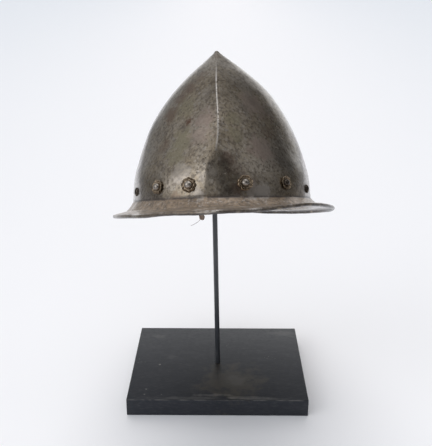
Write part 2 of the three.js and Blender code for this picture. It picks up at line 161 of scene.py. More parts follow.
SCRAP_TABLE = (
    (-0.16, -0.06, 0.00, 0.75),
    (-0.02, 0.00, 0.00, 1.25),
    (0.16, 0.05, 0.01, 1.20),
    (0.38, 0.14, 0.06, 0.85),
    (0.62, 0.22, 0.14, 0.70),
    (0.82, 0.27, 0.22, 0.80),
    (0.95, 0.30, 0.28, 0.95),
    (1.00, 0.31, 0.30, 0.55),
)


CREASE_COLUMNS = ("rise", "aside", "height")
CREASE_TABLE = (
    (0.00, -11.0, 0.8),
    (0.04, -11.0, 1.5),
    (0.10, -10.5, 2.4),
    (0.18, -9.0, 2.6),
    (0.255, -4.5, 1.8),
    (0.31, -0.5, 0.6),
    (0.36, 0.5, 0.0),
    (1.00, 0.5, 0.0),
)


class TableCurve:
    """Smooth curve through one column of a table, without overshoot."""

    def __init__(self, places: Sequence[float], values: Sequence[float]) -> None:
        """Works out the slope at each row.

        Args:
            places: Where the rows lie, rising.
            values: The column's values.
        """
        self.places = np.asarray(places, float)
        self.values = np.asarray(values, float)
        slopes = np.diff(self.values) / np.diff(self.places)
        product = slopes[:-1] * slopes[1:]
        total = np.where(product > 0, slopes[:-1] + slopes[1:], 1.0)
        inner = np.where(product > 0, 2 * product / total, 0.0)
        self.tangents = np.concatenate(([slopes[0]], inner, [slopes[-1]]))

    def at(self, where: np.ndarray | float) -> np.ndarray:
        """Values of the curve.

        Args:
            where: Places along the table.

        Returns:
            One value for each place.
        """
        place = np.clip(where, self.places[0], self.places[-1])
        i = np.clip(np.searchsorted(self.places, place, side="right") - 1, 0, len(self.places) - 2)
        step = self.places[i + 1] - self.places[i]
        t = (place - self.places[i]) / step
        rest = 1 - t
        return (
            (1 + 2 * t) * rest**2 * self.values[i]
            + t * rest**2 * step * self.tangents[i]
            + t**2 * (3 - 2 * t) * self.values[i + 1]
            - t**2 * rest * step * self.tangents[i + 1]
        )


def table_curves(table: Sequence[Sequence[float]], names: Sequence[str]) -> dict[str, TableCurve]:
    """Curves through a table's columns over its first one.

    Args:
        table: The rows.
        names: The columns' names.

    Returns:
        One curve for each column after the first.
    """
    places = [row[0] for row in table]
    return {
        name: TableCurve(places, [row[i + 1] for row in table]) for i, name in enumerate(names[1:])
    }


# Work on meshes


def clear_selection() -> None:
    """Leaves edit mode if need be and deselects every object."""
    if bpy.context.object and bpy.context.object.mode != "OBJECT":
        bpy.ops.object.mode_set(mode="OBJECT")
    bpy.ops.object.select_all(action="DESELECT")


def make_active(piece: bpy.types.Object) -> None:
    """Selects one object alone."""
    clear_selection()
    piece.select_set(True)
    bpy.context.view_layer.objects.active = piece


def edit(piece: bpy.types.Object, mode: str = "VERT") -> None:
    """Opens a piece in edit mode with nothing selected.

    Args:
        piece: The piece to open.
        mode: What is selected: VERT, EDGE or FACE.
    """
    make_active(piece)
    bpy.ops.object.mode_set(mode="EDIT")
    bpy.ops.mesh.select_mode(type=mode)
    bpy.ops.mesh.select_all(action="DESELECT")


def select_points(piece: bpy.types.Object, test: Callable[[Vector], bool]) -> None:
    """Selects the vertices of a piece in edit mode that pass a test, and what lies between them.

    Args:
        piece: The piece in edit mode.
        test: Tells of a vertex's place whether it is taken.
    """
    bpy.ops.object.mode_set(mode="OBJECT")
    mesh = piece.data
    taken = [bool(test(v.co)) for v in mesh.vertices]
    mesh.vertices.foreach_set("select", taken)
    edges = [taken[e.vertices[0]] and taken[e.vertices[1]] for e in mesh.edges]
    mesh.edges.foreach_set("select", edges)
    mesh.polygons.foreach_set("select", [all(taken[i] for i in p.vertices) for p in mesh.polygons])
    bpy.ops.object.mode_set(mode="EDIT")


def read_points(piece: bpy.types.Object) -> np.ndarray:
    """Places of a mesh's vertices as an array of rows."""
    places = np.empty(len(piece.data.vertices) * 3, np.float64)
    piece.data.vertices.foreach_get("co", places)
    return places.reshape(-1, 3)


def write_points(piece: bpy.types.Object, places: np.ndarray) -> None:
    """Moves a mesh's vertices to new places."""
    piece.data.vertices.foreach_set("co", np.ascontiguousarray(places, np.float64).ravel())
    piece.data.update()


def rough_up(piece: bpy.types.Object, amount: float, wave: float, seed: float) -> None:
    """Moves the vertices of a piece in and out by a small smooth noise.

    Args:
        piece: The piece.
        amount: Greatest move in metres.
        wave: Length of the noise's waves in metres.
        seed: Shifts the noise, so that copies differ.
    """
    shift = Vector((seed, seed * 0.7, -seed * 1.3))
    moved = [
        v.co + v.normal * (amount * noise.noise(v.co / wave + shift)) for v in piece.data.vertices
    ]
    write_points(piece, np.array(moved))


def apply_modifier(piece: bpy.types.Object, kind: str, **settings: object) -> None:
    """Adds a modifier to a piece and applies it.

    Args:
        piece: The piece.
        kind: The modifier's type.
        **settings: Its values.
    """
    make_active(piece)
    modifier = piece.modifiers.new(kind.lower(), kind)
    for name, value in settings.items():
        setattr(modifier, name, value)
    bpy.ops.object.modifier_apply(modifier=modifier.name)


def copy_of(master: bpy.types.Object, name: str) -> bpy.types.Object:
    """A copy of a piece with its own mesh.

    Args:
        master: The piece that was modelled.
        name: The copy's name.

    Returns:
        The copy.
    """
    piece = master.copy()
    piece.data = master.data.copy()
    piece.name = name
    piece.data.name = name
    bpy.context.collection.objects.link(piece)
    return piece


def dress(piece: bpy.types.Object, material: bpy.types.Material, slot: Slot, *nodes: str) -> None:
    """Gives a finished piece its material and body, and lets it stand for CAD nodes.

    Args:
        piece: The finished piece.
        material: Its material.
        slot: The record's slot of its finish; not used.
        *nodes: The CAD nodes that it stands for.
    """
    piece.data.materials.clear()
    piece.data.materials.append(material)
    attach(piece, BODY)
    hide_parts(*nodes)
    triangles = sum(len(p.vertices) - 2 for p in piece.data.polygons)
    log.info("%s stands for %s: %d triangles", piece.name, ", ".join(nodes), triangles)


# Work on nodes


class NodeSheet:
    """Adds nodes to one tree and links them."""

    def __init__(self, tree: bpy.types.NodeTree) -> None:
        """Takes the tree to work on."""
        self.tree = tree

    def feed(self, socket: bpy.types.NodeSocket, value: object) -> None:
        """Links a socket to another one, or sets its value."""
        if isinstance(value, bpy.types.NodeSocket):
            self.tree.links.new(value, socket)
        else:
            socket.default_value = value

    def add(self, kind: str, inputs: dict | None = None, **settings: object) -> bpy.types.Node:
        """Adds a node.

        Args:
            kind: The node's type.
            inputs: Values or sources of its sockets, by name or number.
            **settings: Its other values.

        Returns:
            The node.
        """
        node = self.tree.nodes.new(kind)
        for name, value in settings.items():
            setattr(node, name, value)
        for name, value in (inputs or {}).items():
            self.feed(node.inputs[name], value)
        return node

    def noise(self, vector: object, scale: float, detail: float = 4.0, rough: float = 0.55) -> object:
        """Noise in space.

        Args:
            vector: Where it is read.
            scale: Waves in a metre.
            detail: Number of finer layers.
            rough: Strength of the finer layers.

        Returns:
            The socket with its values.
        """
        inputs = {"Vector": vector, "Scale": scale, "Detail": detail, "Roughness": rough}
        return self.add("ShaderNodeTexNoise", inputs).outputs["Fac"]

    def math(self, operation: str, a: object, b: object = 0.0, clamp: bool = False) -> object:
        """One step of arithmetic.

        Args:
            operation: What is done.
            a: The first value.
            b: The second value.
            clamp: Whether the result stays between 0 and 1.

        Returns:
            The socket with the result.
        """
        node = self.add("ShaderNodeMath", {0: a, 1: b}, operation=operation, use_clamp=clamp)
        return node.outputs[0]

    def times(self, a: object, b: object) -> object:
        """Product of two values."""
        return self.math("MULTIPLY", a, b)

    def attribute(self, name: str) -> object:
        """A mask that the mesh carries."""
        return self.add("ShaderNodeAttribute", attribute_name=name).outputs["Fac"]

    def step(self, value: object, low: object, high: object) -> object:
        """Rises smoothly from 0 at one value to 1 at another.

        Args:
            value: What is tested.
            low: Where the step starts.
            high: Where it ends.

        Returns:
            The socket with the result.
        """
        inputs = {"Value": value, "From Min": low, "From Max": high}
        node = self.add("ShaderNodeMapRange", inputs, interpolation_type="SMOOTHSTEP")
        return node.outputs["Result"]

    def span(self, value: object, low: float, high: float) -> object:
        """Spreads a value between 0 and 1 over two others.

        Args:
            value: The value between 0 and 1.
            low: The result at 0.
            high: The result at 1.

        Returns:
            The socket with the result.
        """
        node = self.add("ShaderNodeMapRange", {"Value": value, "To Min": low, "To Max": high})
        return node.outputs["Result"]

    def mix(self, factor: object, a: object, b: object, blend: str = "MIX") -> object:
        """Mixes two colours.

        Args:
            factor: Share of the second colour.
            a: The first colour.
            b: The second colour.
            blend: How they are mixed.

        Returns:
            The socket with the colour.
        """
        node = self.add("ShaderNodeMix", {0: factor, 6: a, 7: b}, data_type="RGBA", blend_type=blend)
        return node.outputs[2]

    def cover(self, colour: object, mask: object, share: object, other: object) -> object:
        """Lays a second colour over a first one.

        Args:
            colour: The first colour.
            mask: Where the second one lies.
            share: How much of it shows there.
            other: The second colour.

        Returns:
            The socket with the colour.
        """
        return self.mix(self.times(mask, share), colour, other)

    def place(self) -> object:
        """Object coordinates."""
        return self.add("ShaderNodeTexCoord").outputs["Object"]

    def stretched(self, vector: object, scale: tuple[float, float, float]) -> object:
        """Coordinates scaled along each axis."""
        node = self.add("ShaderNodeVectorMath", {0: vector, 1: scale}, operation="MULTIPLY")
        return node.outputs[0]

    def group(self, tree: bpy.types.NodeTree, **inputs: object) -> object:
        """Places a shared effect.

        Args:
            tree: The effect's tree.
            **inputs: Values or sources of its inputs.

        Returns:
            The socket with its mask.
        """
        node = self.add("ShaderNodeGroup", node_tree=tree)
        for name, value in inputs.items():
            self.feed(node.inputs[name], value)
        return node.outputs["Mask"]


class Pattern(NamedTuple):
    """Soft patches: waves in a metre, and the noise at which they start and are full."""

    scale: float
    low: float
    high: float


class PitPattern(NamedTuple):
    """Small pits: cells in a metre, size as a share of a cell, and the noise at which they start."""

    scale: float
    size: float
    cover: float


class Effects:
    """Effects that several finishes share, each a node group with one mask."""

    def __init__(self) -> None:
        """Builds the groups."""
        self.mottle = self.build_mottle()
        self.pits = self.build_pits()
        self.stain = self.build_stain()

    def patches(self, sheet: NodeSheet, place: object, given: Pattern) -> object:
        """Soft patches of a finish.

        Args:
            sheet: The finish's sheet.
            place: Where they are read.
            given: Their pattern.

        Returns:
            The socket with their mask.
        """
        inputs = {"Scale": given.scale, "Low": given.low, "High": given.high}
        return sheet.group(self.mottle, Vector=place, **inputs)

    def holes(self, sheet: NodeSheet, place: object, given: PitPattern) -> object:
        """Small pits of a finish.

        Args:
            sheet: The finish's sheet.
            place: Where they are read.
            given: Their pattern.

        Returns:
            The socket with their mask.
        """
        inputs = {"Scale": given.scale, "Size": given.size, "Cover": given.cover}
        return sheet.group(self.pits, Vector=place, **inputs)

    @staticmethod
    def new_group(name: str, **inputs: float | tuple) -> tuple[NodeSheet, dict, Callable]:
        """Starts a group.

        Args:
            name: The group's name.
            **inputs: Its inputs with their usual values; a tuple makes a vector.

        Returns:
            The sheet, the input sockets by name, and a function that takes the mask.
        """
        tree = bpy.data.node_groups.new(name, "ShaderNodeTree")
        for key, value in inputs.items():
            kind = "NodeSocketVector" if isinstance(value, tuple) else "NodeSocketFloat"
            socket = tree.interface.new_socket(key, in_out="INPUT", socket_type=kind)
            socket.default_value = value
        tree.interface.new_socket("Mask", in_out="OUTPUT", socket_type="NodeSocketFloat")
        sheet = NodeSheet(tree)
        source = sheet.add("NodeGroupInput")
        target = sheet.add("NodeGroupOutput")
        return sheet, source.outputs, lambda mask: sheet.feed(target.inputs["Mask"], mask)

    def build_mottle(self) -> bpy.types.NodeTree:
        """Soft patches: noise that rises from 0 at Low to 1 at High."""
        sheet, given, give = self.new_group(
            "mottle", Vector=(0.0, 0.0, 0.0), Scale=30.0, Low=0.4, High=0.6
        )
        value = sheet.noise(given["Vector"], given["Scale"])
        give(sheet.step(value, given["Low"], given["High"]))
        return sheet.tree

    def build_pits(self) -> bpy.types.NodeTree:
        """Small round pits that lie where a wider noise allows them."""
        sheet, given, give = self.new_group(
            "pits", Vector=(0.0, 0.0, 0.0), Scale=300.0, Size=0.3, Cover=0.5
        )
        cells = sheet.add(
            "ShaderNodeTexVoronoi", {"Vector": given["Vector"], "Scale": given["Scale"]}
        )
        wide = sheet.times(given["Scale"], 0.12)
        field_of_pits = sheet.noise(given["Vector"], wide, 3.0)
        allowed = sheet.step(field_of_pits, given["Cover"], sheet.math("ADD", given["Cover"], 0.12))
        size = sheet.times(given["Size"], allowed)
        inner = sheet.times(size, 0.35)
        outside = sheet.step(cells.outputs["Distance"], inner, sheet.math("ADD", size, 0.001))
        give(sheet.math("MULTIPLY", sheet.math("SUBTRACT", 1.0, outside), allowed))
        return sheet.tree

    def build_stain(self) -> bpy.types.NodeTree:
        """One stain round Centre, whose edge follows the noise Rag."""
        sheet, given, give = self.new_group(
            "stain", Vector=(0.0, 0.0, 0.0), Centre=(0.0, 0.0, 0.0), Radius=0.01, Rag=0.5
        )
        away = sheet.add(
            "ShaderNodeVectorMath", {0: given["Vector"], 1: given["Centre"]}, operation="DISTANCE"
        )
        share = sheet.math("DIVIDE", away.outputs["Value"], given["Radius"])
        ragged = sheet.math("SUBTRACT", given["Rag"], 0.5)
        share = sheet.math("ADD", share, sheet.times(ragged, 2.6))
        give(sheet.math("SUBTRACT", 1.0, sheet.step(share, 0.40, 1.05)))
        return sheet.tree


def new_material(name: str, **fixed: object) -> tuple[bpy.types.Material, NodeSheet, bpy.types.Node]:
    """Starts a material with one Principled shader.

    Args:
        name: The material's name.
        **fixed: Constant values of the shader's sockets, with _ for a space.

    Returns:
        The material, its sheet and the shader.
    """
    material = bpy.data.materials.new(name)
    material.use_nodes = True
    sheet = NodeSheet(material.node_tree)
    shader = material.node_tree.nodes["Principled BSDF"]
    for key, value in fixed.items():
        shader.inputs[key.replace("_", " ")].default_value = value
    return material, sheet, shader


def bump(sheet: NodeSheet, shader: bpy.types.Node, height: object, strength: float, depth: float) -> None:
    """Feeds a height to the shader's normal.

    Args:
        sheet: The material's sheet.
        shader: Its shader.
        height: The socket with the height.
        strength: Share of the effect.
        depth: Height of a full step in metres.
    """
    inputs = {"Strength": strength, "Distance": depth, "Height": height}
    sheet.feed(shader.inputs["Normal"], sheet.add("ShaderNodeBump", inputs).outputs["Normal"])


# Finishes


class Tone(Enum):
    """Colour of a placed stain or placed patch of painted shade or highlight, by the name of the steel's
    colour.
    """

    RUST = "rust"
    SOOT = "soot"
    BROWN = "brown"
    OLIVE = "olive"
    MAUVE = "mauve"
    # Rubbed steel, and painted highlights.
    RUBBED = "rubbed"


@dataclass(frozen=True)
class Stain:
    """A placed stain, or a placed patch of painted shade or highlight: its tone, its centre and radius in
    millimetres, and its strength.
    """

    tone: Tone
    centre: tuple[float, float, float]
    radius: float
    strength: float = 1.0


# Stains of the steel, and patches of painted shade and painted highlight, by tone: centre and radius in
# millimetres, and strength

STAIN_TABLE = {
    Tone.RUST: (
        (49.3, -56.4, 327.4, 12.0, 0.24),
        (48.6, -73.4, 314.4, 12.0, 0.30),
        (-27.3, -77.0, 327.0, 4.6, 1.00),
        (-29.5, -73.0, 332.0, 3.4, 0.60),
        (-51.0, -72.3, 306.0, 3.0, 0.60),
        (9.8, -115.8, 300.8, 10.0, 0.50),
        (14.4, -120.4, 292.6, 12.0, 0.28),
        (19.0, -128.6, 276.1, 8.0, 0.50),
        (-0.5, -14.0, 383.0, 5.0, 0.60),
        (40.0, 78.0, 300.0, 9.0, 0.55),
        (-30.0, 96.0, 270.0, 11.0, 0.45),
        (70.0, 30.0, 290.0, 9.0, 0.45),
    ),
    # Soot, and painted shade on the dark side of the crease at the keel's foot and on the right flank.
    Tone.SOOT: (
        (-4.8, -119.4, 297.1, 4.0, 0.55),
        (7.0, -120.0, 298.0, 8.0, 0.36),
        (5.0, -128.0, 284.0, 8.0, 0.20),
        (8.0, -131.0, 273.0, 8.0, 0.34),
        (64.9, -84.8, 287.7, 14.0, 0.24),
        (-60.0, 60.0, 300.0, 14.0, 0.35),
    ),
    Tone.BROWN: (
        (-45.1, -50.9, 330.1, 12.0, 0.95),
        (-37.4, -43.9, 342.6, 11.0, 0.90),
        (-27.5, -40.3, 353.9, 11.0, 0.80),
        (-17.7, -36.6, 363.1, 9.0, 0.50),
        (-38.1, -122.1, 267.1, 7.0, 0.60),
        (-52.0, -76.0, 302.0, 9.0, 0.50),
        (-7.0, -90.0, 332.0, 7.0, 0.30),
        (36.2, -96.2, 305.3, 12.0, 0.32),
    ),
    Tone.OLIVE: (
        (-31.8, -60.0, 337.8, 16.0, 0.60),
        (-33.6, -86.9, 312.5, 15.0, 0.70),
        (-39.1, -94.8, 300.0, 15.0, 0.60),
        (13.6, -86.9, 331.8, 10.0, 0.50),
        (16.4, -96.7, 319.7, 10.0, 0.50),
    ),
    Tone.MAUVE: (
        (-12.7, -86.0, 331.6, 15.0, 0.70),
        (-16.3, -95.4, 319.4, 14.0, 0.60),
        (42.1, -92.0, 304.2, 17.0, 0.70),
        (34.0, -56.0, 341.0, 18.0, 0.60),
        (30.1, -123.3, 279.3, 12.0, 0.60),
    ),
    # Rubbed patches, and painted highlights along the near edge of the brim and low on the front.
    Tone.RUBBED: (
        (-34.0, -113.5, 287.0, 13.0, 0.50),
        (-12.0, -125.0, 284.4, 9.0, 0.30),
        (-17.0, -130.5, 272.0, 7.0, 0.55),
        (41.3, -121.2, 271.9, 12.0, 0.85),
        (32.0, -126.0, 271.0, 9.0, 0.60),
        (-10.0, -61.0, 354.0, 7.0, 0.30),
        (28.0, -47.0, 352.0, 10.0, 0.24),
        (-4.0, -124.0, 290.0, 5.0, 0.30),
        (20.0, 88.0, 310.0, 14.0, 0.25),
        (-17.4, -160.0, 266.6, 5.0, 0.80),
        (-9.6, -158.5, 267.0, 4.0, 0.80),
        (-3.5, -156.0, 267.0, 3.5, 0.70),
        (13.3, -152.0, 266.5, 4.0, 0.80),
        (23.3, -148.0, 266.0, 6.0, 0.80),
        (-83.0, -78.2, 239.2, 7.0, 0.60),
        (-97.0, -57.0, 229.0, 9.0, 0.50),
    ),
}


@dataclass(frozen=True)
class SteelFinish:
    """Old dark steel with brown patina, rust stains, pits and worn bright edges, and with painted shade,
    painted highlights and a painted sheen at grazing angles.
    """

    cool: Colour = (0.400, 0.352, 0.292, 1.0)
    warm: Colour = (0.385, 0.318, 0.228, 1.0)
    dark: Colour = (0.120, 0.096, 0.076, 1.0)
    rust: Colour = (0.150, 0.085, 0.055, 1.0)
    # Colour of soot, and of painted shade.
    soot: Colour = (0.060, 0.050, 0.045, 1.0)
    brim: Colour = (0.366, 0.274, 0.194, 1.0)
    # Painted sheen: the pale blue-grey that the steel turns at grazing angles.
    edge: Colour = (0.460, 0.480, 0.520, 1.0)
    bright: Colour = (0.720, 0.680, 0.650, 1.0)
    brown: Colour = (0.225, 0.155, 0.108, 1.0)
    olive: Colour = (0.330, 0.296, 0.196, 1.0)
    mauve: Colour = (0.440, 0.350, 0.305, 1.0)
    # Colour of rubbed steel, and of the placed painted highlights.
    rubbed: Colour = (0.560, 0.510, 0.465, 1.0)
    small_stain: float = 7.0
    roughness: tuple[float, float] = (0.28, 0.37)
    metal: tuple[float, float] = (1.0, 0.42)
    coat: tuple[float, float] = (0.80, 0.25)
    # Facing values over which the painted sheen comes in.
    painted_grazing_sheen: tuple[float, float] = (0.52, 0.92)
    sheen_by_streaks: tuple[float, float] = (0.35, 1.0)
    # Share of the painted sheen off and on the pale streaks.
    relief: tuple[float, float] = (0.55, 0.0006)
    stains: tuple[Stain, ...] = tuple(
        Stain(tone, row[:3], *row[3:]) for tone, rows in STAIN_TABLE.items() for row in rows
    )
    blotch_pattern: Pattern = Pattern(26.0, 0.36, 0.64)
    patch_pattern: Pattern = Pattern(95.0, 0.50, 0.70)
    fleck_pattern: Pattern = Pattern(330.0, 0.46, 0.62)
    light_pattern: Pattern = Pattern(300.0, 0.54, 0.70)
    pits_pattern: PitPattern = PitPattern(330.0, 0.40, 0.50)
    big_pits_pattern: PitPattern = PitPattern(150.0, 0.22, 0.53)
    streaks_pattern: Pattern = Pattern(420.0, 0.40, 0.66)
    lines_pattern: Pattern = Pattern(620.0, 0.38, 0.66)
    pale_pattern: Pattern = Pattern(520.0, 0.56, 0.70)
    crust_pattern: Pattern = Pattern(150.0, 0.22, 0.56)
    broken_pattern: Pattern = Pattern(240.0, 0.30, 0.52)
    patchy_pattern: Pattern = Pattern(34.0, 0.50, 0.60)
    lines_share: float = 0.45
    patch_share: float = 0.45
    fleck_share: float = 0.65
    light_share: float = 0.32
    streaks_share: float = 0.25
    pale_share: float = 0.22
    rim_share: float = 0.75
    hollow_share: float = 0.60

    def material(self, effects: Effects) -> bpy.types.Material:
        """Builds the material.

        Args:
            effects: The shared effects.

        Returns:
            The material.
        """
        material, sheet, shader = new_material(
            "steel_old", Coat_Roughness=0.16, Coat_IOR=1.45
        )
        place = sheet.place()
        wear = sheet.add("ShaderNodeAttribute", attribute_name="wear")
        masks = sheet.add("ShaderNodeSeparateColor", {0: wear.outputs["Color"]})
        keel = masks.outputs[Wear.KEEL.value]
        rim = masks.outputs[Wear.RIM.value]
        brim = masks.outputs[Wear.BRIM.value]
        dirt_and_shade = wear.outputs["Alpha"]

        blotch = effects.patches(sheet, place, self.blotch_pattern)
        patch = effects.patches(sheet, place, self.patch_pattern)
        fleck = effects.patches(sheet, place, self.fleck_pattern)
        light = effects.patches(sheet, place, self.light_pattern)
        pits = effects.holes(sheet, place, self.pits_pattern)
        warped = sheet.add("ShaderNodeTexNoise", {"Vector": place, "Scale": 240.0}).outputs["Color"]
        warped = sheet.stretched(warped, (0.006, 0.006, 0.006))
        warped = sheet.add("ShaderNodeVectorMath", {0: place, 1: warped}).outputs[0]
        big_pits = effects.holes(sheet, warped, self.big_pits_pattern)
        streak_place = sheet.stretched(place, (1.0, 1.0, 0.09))
        streaks = effects.patches(sheet, streak_place, self.streaks_pattern)

        colour = sheet.mix(blotch, self.cool, self.warm)
        lines_place = sheet.stretched(place, (0.10, 0.10, 1.0))
        lines = effects.patches(sheet, lines_place, self.lines_pattern)
        band = sheet.cover(self.brim, lines, self.lines_share, self.dark)
        colour = sheet.mix(brim, colour, band)
        colour = sheet.cover(colour, patch, self.patch_share, self.dark)
        colour = sheet.cover(colour, fleck, self.fleck_share, self.dark)
        colour = sheet.cover(colour, light, self.light_share, self.bright)
        colour = sheet.cover(colour, streaks, self.streaks_share, self.dark)
        pale_place = sheet.stretched(place, (1.0, 1.0, 0.06))
        pale = effects.patches(sheet, pale_place, self.pale_pattern)
        colour = sheet.cover(colour, pale, self.pale_share, self.bright)
        colour = sheet.cover(colour, rim, self.rim_share, self.soot)
        rags = (sheet.noise(place, 130.0, 5.0, 0.65), sheet.noise(place, 420.0, 4.0, 0.6))
        # Placed stains, and placed patches of painted shade and painted highlight, by tone.
        for tone in Tone:
            covered = 0.0
            for stain in (one for one in self.stains if one.tone is tone):
                mask = sheet.group(
                    effects.stain,
                    Vector=place,
                    Centre=tuple(value * MM for value in stain.centre),
                    Radius=stain.radius * MM,
                    Rag=rags[stain.radius < self.small_stain],
                )
                mask = sheet.times(mask, stain.strength)
                covered = sheet.math("MAXIMUM", mask, covered)
            colour = sheet.mix(covered, colour, getattr(self, tone.value))
        hollow = sheet.math("MAXIMUM", pits, big_pits)
        colour = sheet.cover(colour, hollow, self.hollow_share, self.dark)
        # Dirt inside, a darker line along the brim's crease and painted shade under the rolled edge,
        # broken into crusts.
        crust = effects.patches(sheet, place, self.crust_pattern)
        colour = sheet.cover(colour, dirt_and_shade, crust, self.soot)
        broken = effects.patches(sheet, place, self.broken_pattern)
        patchy = effects.patches(sheet, place, self.patchy_pattern)
        rubbed = sheet.times(rim, patchy)
        worn = sheet.math("MULTIPLY", sheet.math("MAXIMUM", keel, rubbed), broken, clamp=True)
        colour = sheet.mix(worn, colour, self.bright)
        # Painted sheen: at grazing angles the colour turns pale blue-grey, little on the brim and most
        # along the pale streaks.
        facing = sheet.add("ShaderNodeLayerWeight", {"Blend": 0.5}).outputs["Facing"]
        painted_grazing_sheen = sheet.math("MULTIPLY", sheet.step(facing, *self.painted_grazing_sheen), sheet.span(brim, 1.0, 0.1))
        streaked_sheen = sheet.span(pale, *self.sheen_by_streaks)
        colour = sheet.cover(colour, painted_grazing_sheen, streaked_sheen, self.edge)
        sheet.feed(shader.inputs["Base Color"], colour)
        crusted = sheet.math("MAXIMUM", brim, dirt_and_shade)
        sheet.feed(shader.inputs["Metallic"], sheet.span(crusted, *self.metal))
        sheet.feed(shader.inputs["Coat Weight"], sheet.span(crusted, *self.coat))

        rough = sheet.span(blotch, *self.roughness)
        rough = sheet.math("ADD", rough, sheet.times(hollow, 0.25))
        rough = sheet.math("ADD", rough, sheet.times(fleck, 0.07))
        rough = sheet.math("SUBTRACT", rough, sheet.times(worn, 0.08))
        sheet.feed(shader.inputs["Roughness"], rough)

        ripples = sheet.noise(place, 120.0, 3.0)
        grain = sheet.noise(place, 700.0, 3.0)
        height = sheet.math("ADD", ripples, sheet.times(grain, 0.22))
        height = sheet.math("SUBTRACT", height, sheet.times(hollow, 0.55))
        height = sheet.math("ADD", height, sheet.times(streaks, 0.08))
        bump(sheet, shader, height, *self.relief)
        return material


@dataclass(frozen=True)
class IronFinish:
    """Iron rivet heads, dark at the foot and rubbed bright on top."""

    worn: Colour = (0.640, 0.590, 0.540, 1.0)
    dark: Colour = (0.110, 0.092, 0.078, 1.0)
    roughness: tuple[float, float] = (0.20, 0.38)
    relief: tuple[float, float] = (0.25, 0.0001)
    patch_pattern: Pattern = Pattern(260.0, 0.42, 0.66)
    pits_pattern: PitPattern = PitPattern(900.0, 0.36, 0.46)
    patch_share: float = 0.45
    pits_share: float = 0.6

    def material(self, effects: Effects) -> bpy.types.Material:
        """Builds the material.

        Args:
            effects: The shared effects.

        Returns:
            The material.
        """
        material, sheet, shader = new_material("rivet_iron", Metallic=1.0)
        place = sheet.place()
        patch = effects.patches(sheet, place, self.patch_pattern)
        pits = effects.holes(sheet, place, self.pits_pattern)
        top = sheet.attribute("top")
        polish = sheet.attribute("polish")
        colour = sheet.cover(self.dark, top, polish, self.worn)
        colour = sheet.cover(colour, patch, self.patch_share, self.dark)
        colour = sheet.cover(colour, pits, self.pits_share, self.dark)
        sheet.feed(shader.inputs["Base Color"], colour)
        sheet.feed(shader.inputs["Roughness"], sheet.span(patch, *self.roughness))
        grain = sheet.math("SUBTRACT", sheet.noise(place, 700.0, 3.0), pits)
        bump(sheet, shader, grain, *self.relief)
        return material


@dataclass(frozen=True)
class BrassFinish:
    """Dull brown brass with brighter raised parts."""

    worn: Colour = (0.640, 0.510, 0.370, 1.0)
    brown: Colour = (0.325, 0.260, 0.190, 1.0)
    dark: Colour = (0.070, 0.050, 0.036, 1.0)
    roughness: tuple[float, float] = (0.34, 0.52)
    relief: tuple[float, float] = (0.35, 0.0002)
    patch_pattern: Pattern = Pattern(230.0, 0.40, 0.62)
    pits_pattern: PitPattern = PitPattern(700.0, 0.4, 0.44)
    patch_share: float = 0.6
    pits_share: float = 0.7

    def material(self, effects: Effects) -> bpy.types.Material:
        """Builds the material.

        Args:
            effects: The shared effects.

        Returns:
            The material.
        """
        material, sheet, shader = new_material("rosette_brass", Metallic=1.0)
        place = sheet.place()
        raised = sheet.attribute("top")
        polish = sheet.attribute("polish")
        patch = effects.patches(sheet, place, self.patch_pattern)
        colour = sheet.cover(self.brown, raised, polish, self.worn)
        colour = sheet.cover(colour, patch, self.patch_share, self.brown)
        pits = effects.holes(sheet, place, self.pits_pattern)
        colour = sheet.cover(colour, pits, self.pits_share, self.dark)
        sheet.feed(shader.inputs["Base Color"], colour)
        sheet.feed(shader.inputs["Roughness"], sheet.span(patch, *self.roughness))
        bump(sheet, shader, sheet.noise(place, 800.0, 3.0), *self.relief)
        return material


@dataclass(frozen=True)
class LeatherFinish:
    """Dry brown leather."""

    brown: Colour = (0.130, 0.088, 0.066, 1.0)
    pale: Colour = (0.250, 0.185, 0.145, 1.0)
    roughness: tuple[float, float] = (0.72, 0.90)
    relief: tuple[float, float] = (0.6, 0.0003)
    patch_pattern: Pattern = Pattern(180.0, 0.38, 0.66)

    def material(self, effects: Effects) -> bpy.types.Material:
        """Builds the material.

        Args:
            effects: The shared effects.

        Returns:
            The material.
        """
        material, sheet, shader = new_material("lining_leather")
        place = sheet.place()
        patch = effects.patches(sheet, place, self.patch_pattern)
        grain = sheet.add("ShaderNodeTexVoronoi", {"Vector": place, "Scale": 900.0})
        colour = sheet.mix(patch, self.brown, self.pale)
        sheet.feed(shader.inputs["Base Color"], colour)
        sheet.feed(shader.inputs["Roughness"], sheet.span(patch, *self.roughness))
        bump(sheet, shader, grain.outputs["Distance"], *self.relief)
        return material


@dataclass(frozen=True)
class BoardMark:
    """A scuff or a dark spot: its centre and radius in millimetres, strength and squeeze."""

    centre: tuple[float, float, float]
    radius: float
    strength: float
    squeeze: tuple[float, float, float] = (1.0, 1.0, 1.0)
    dark: bool = False


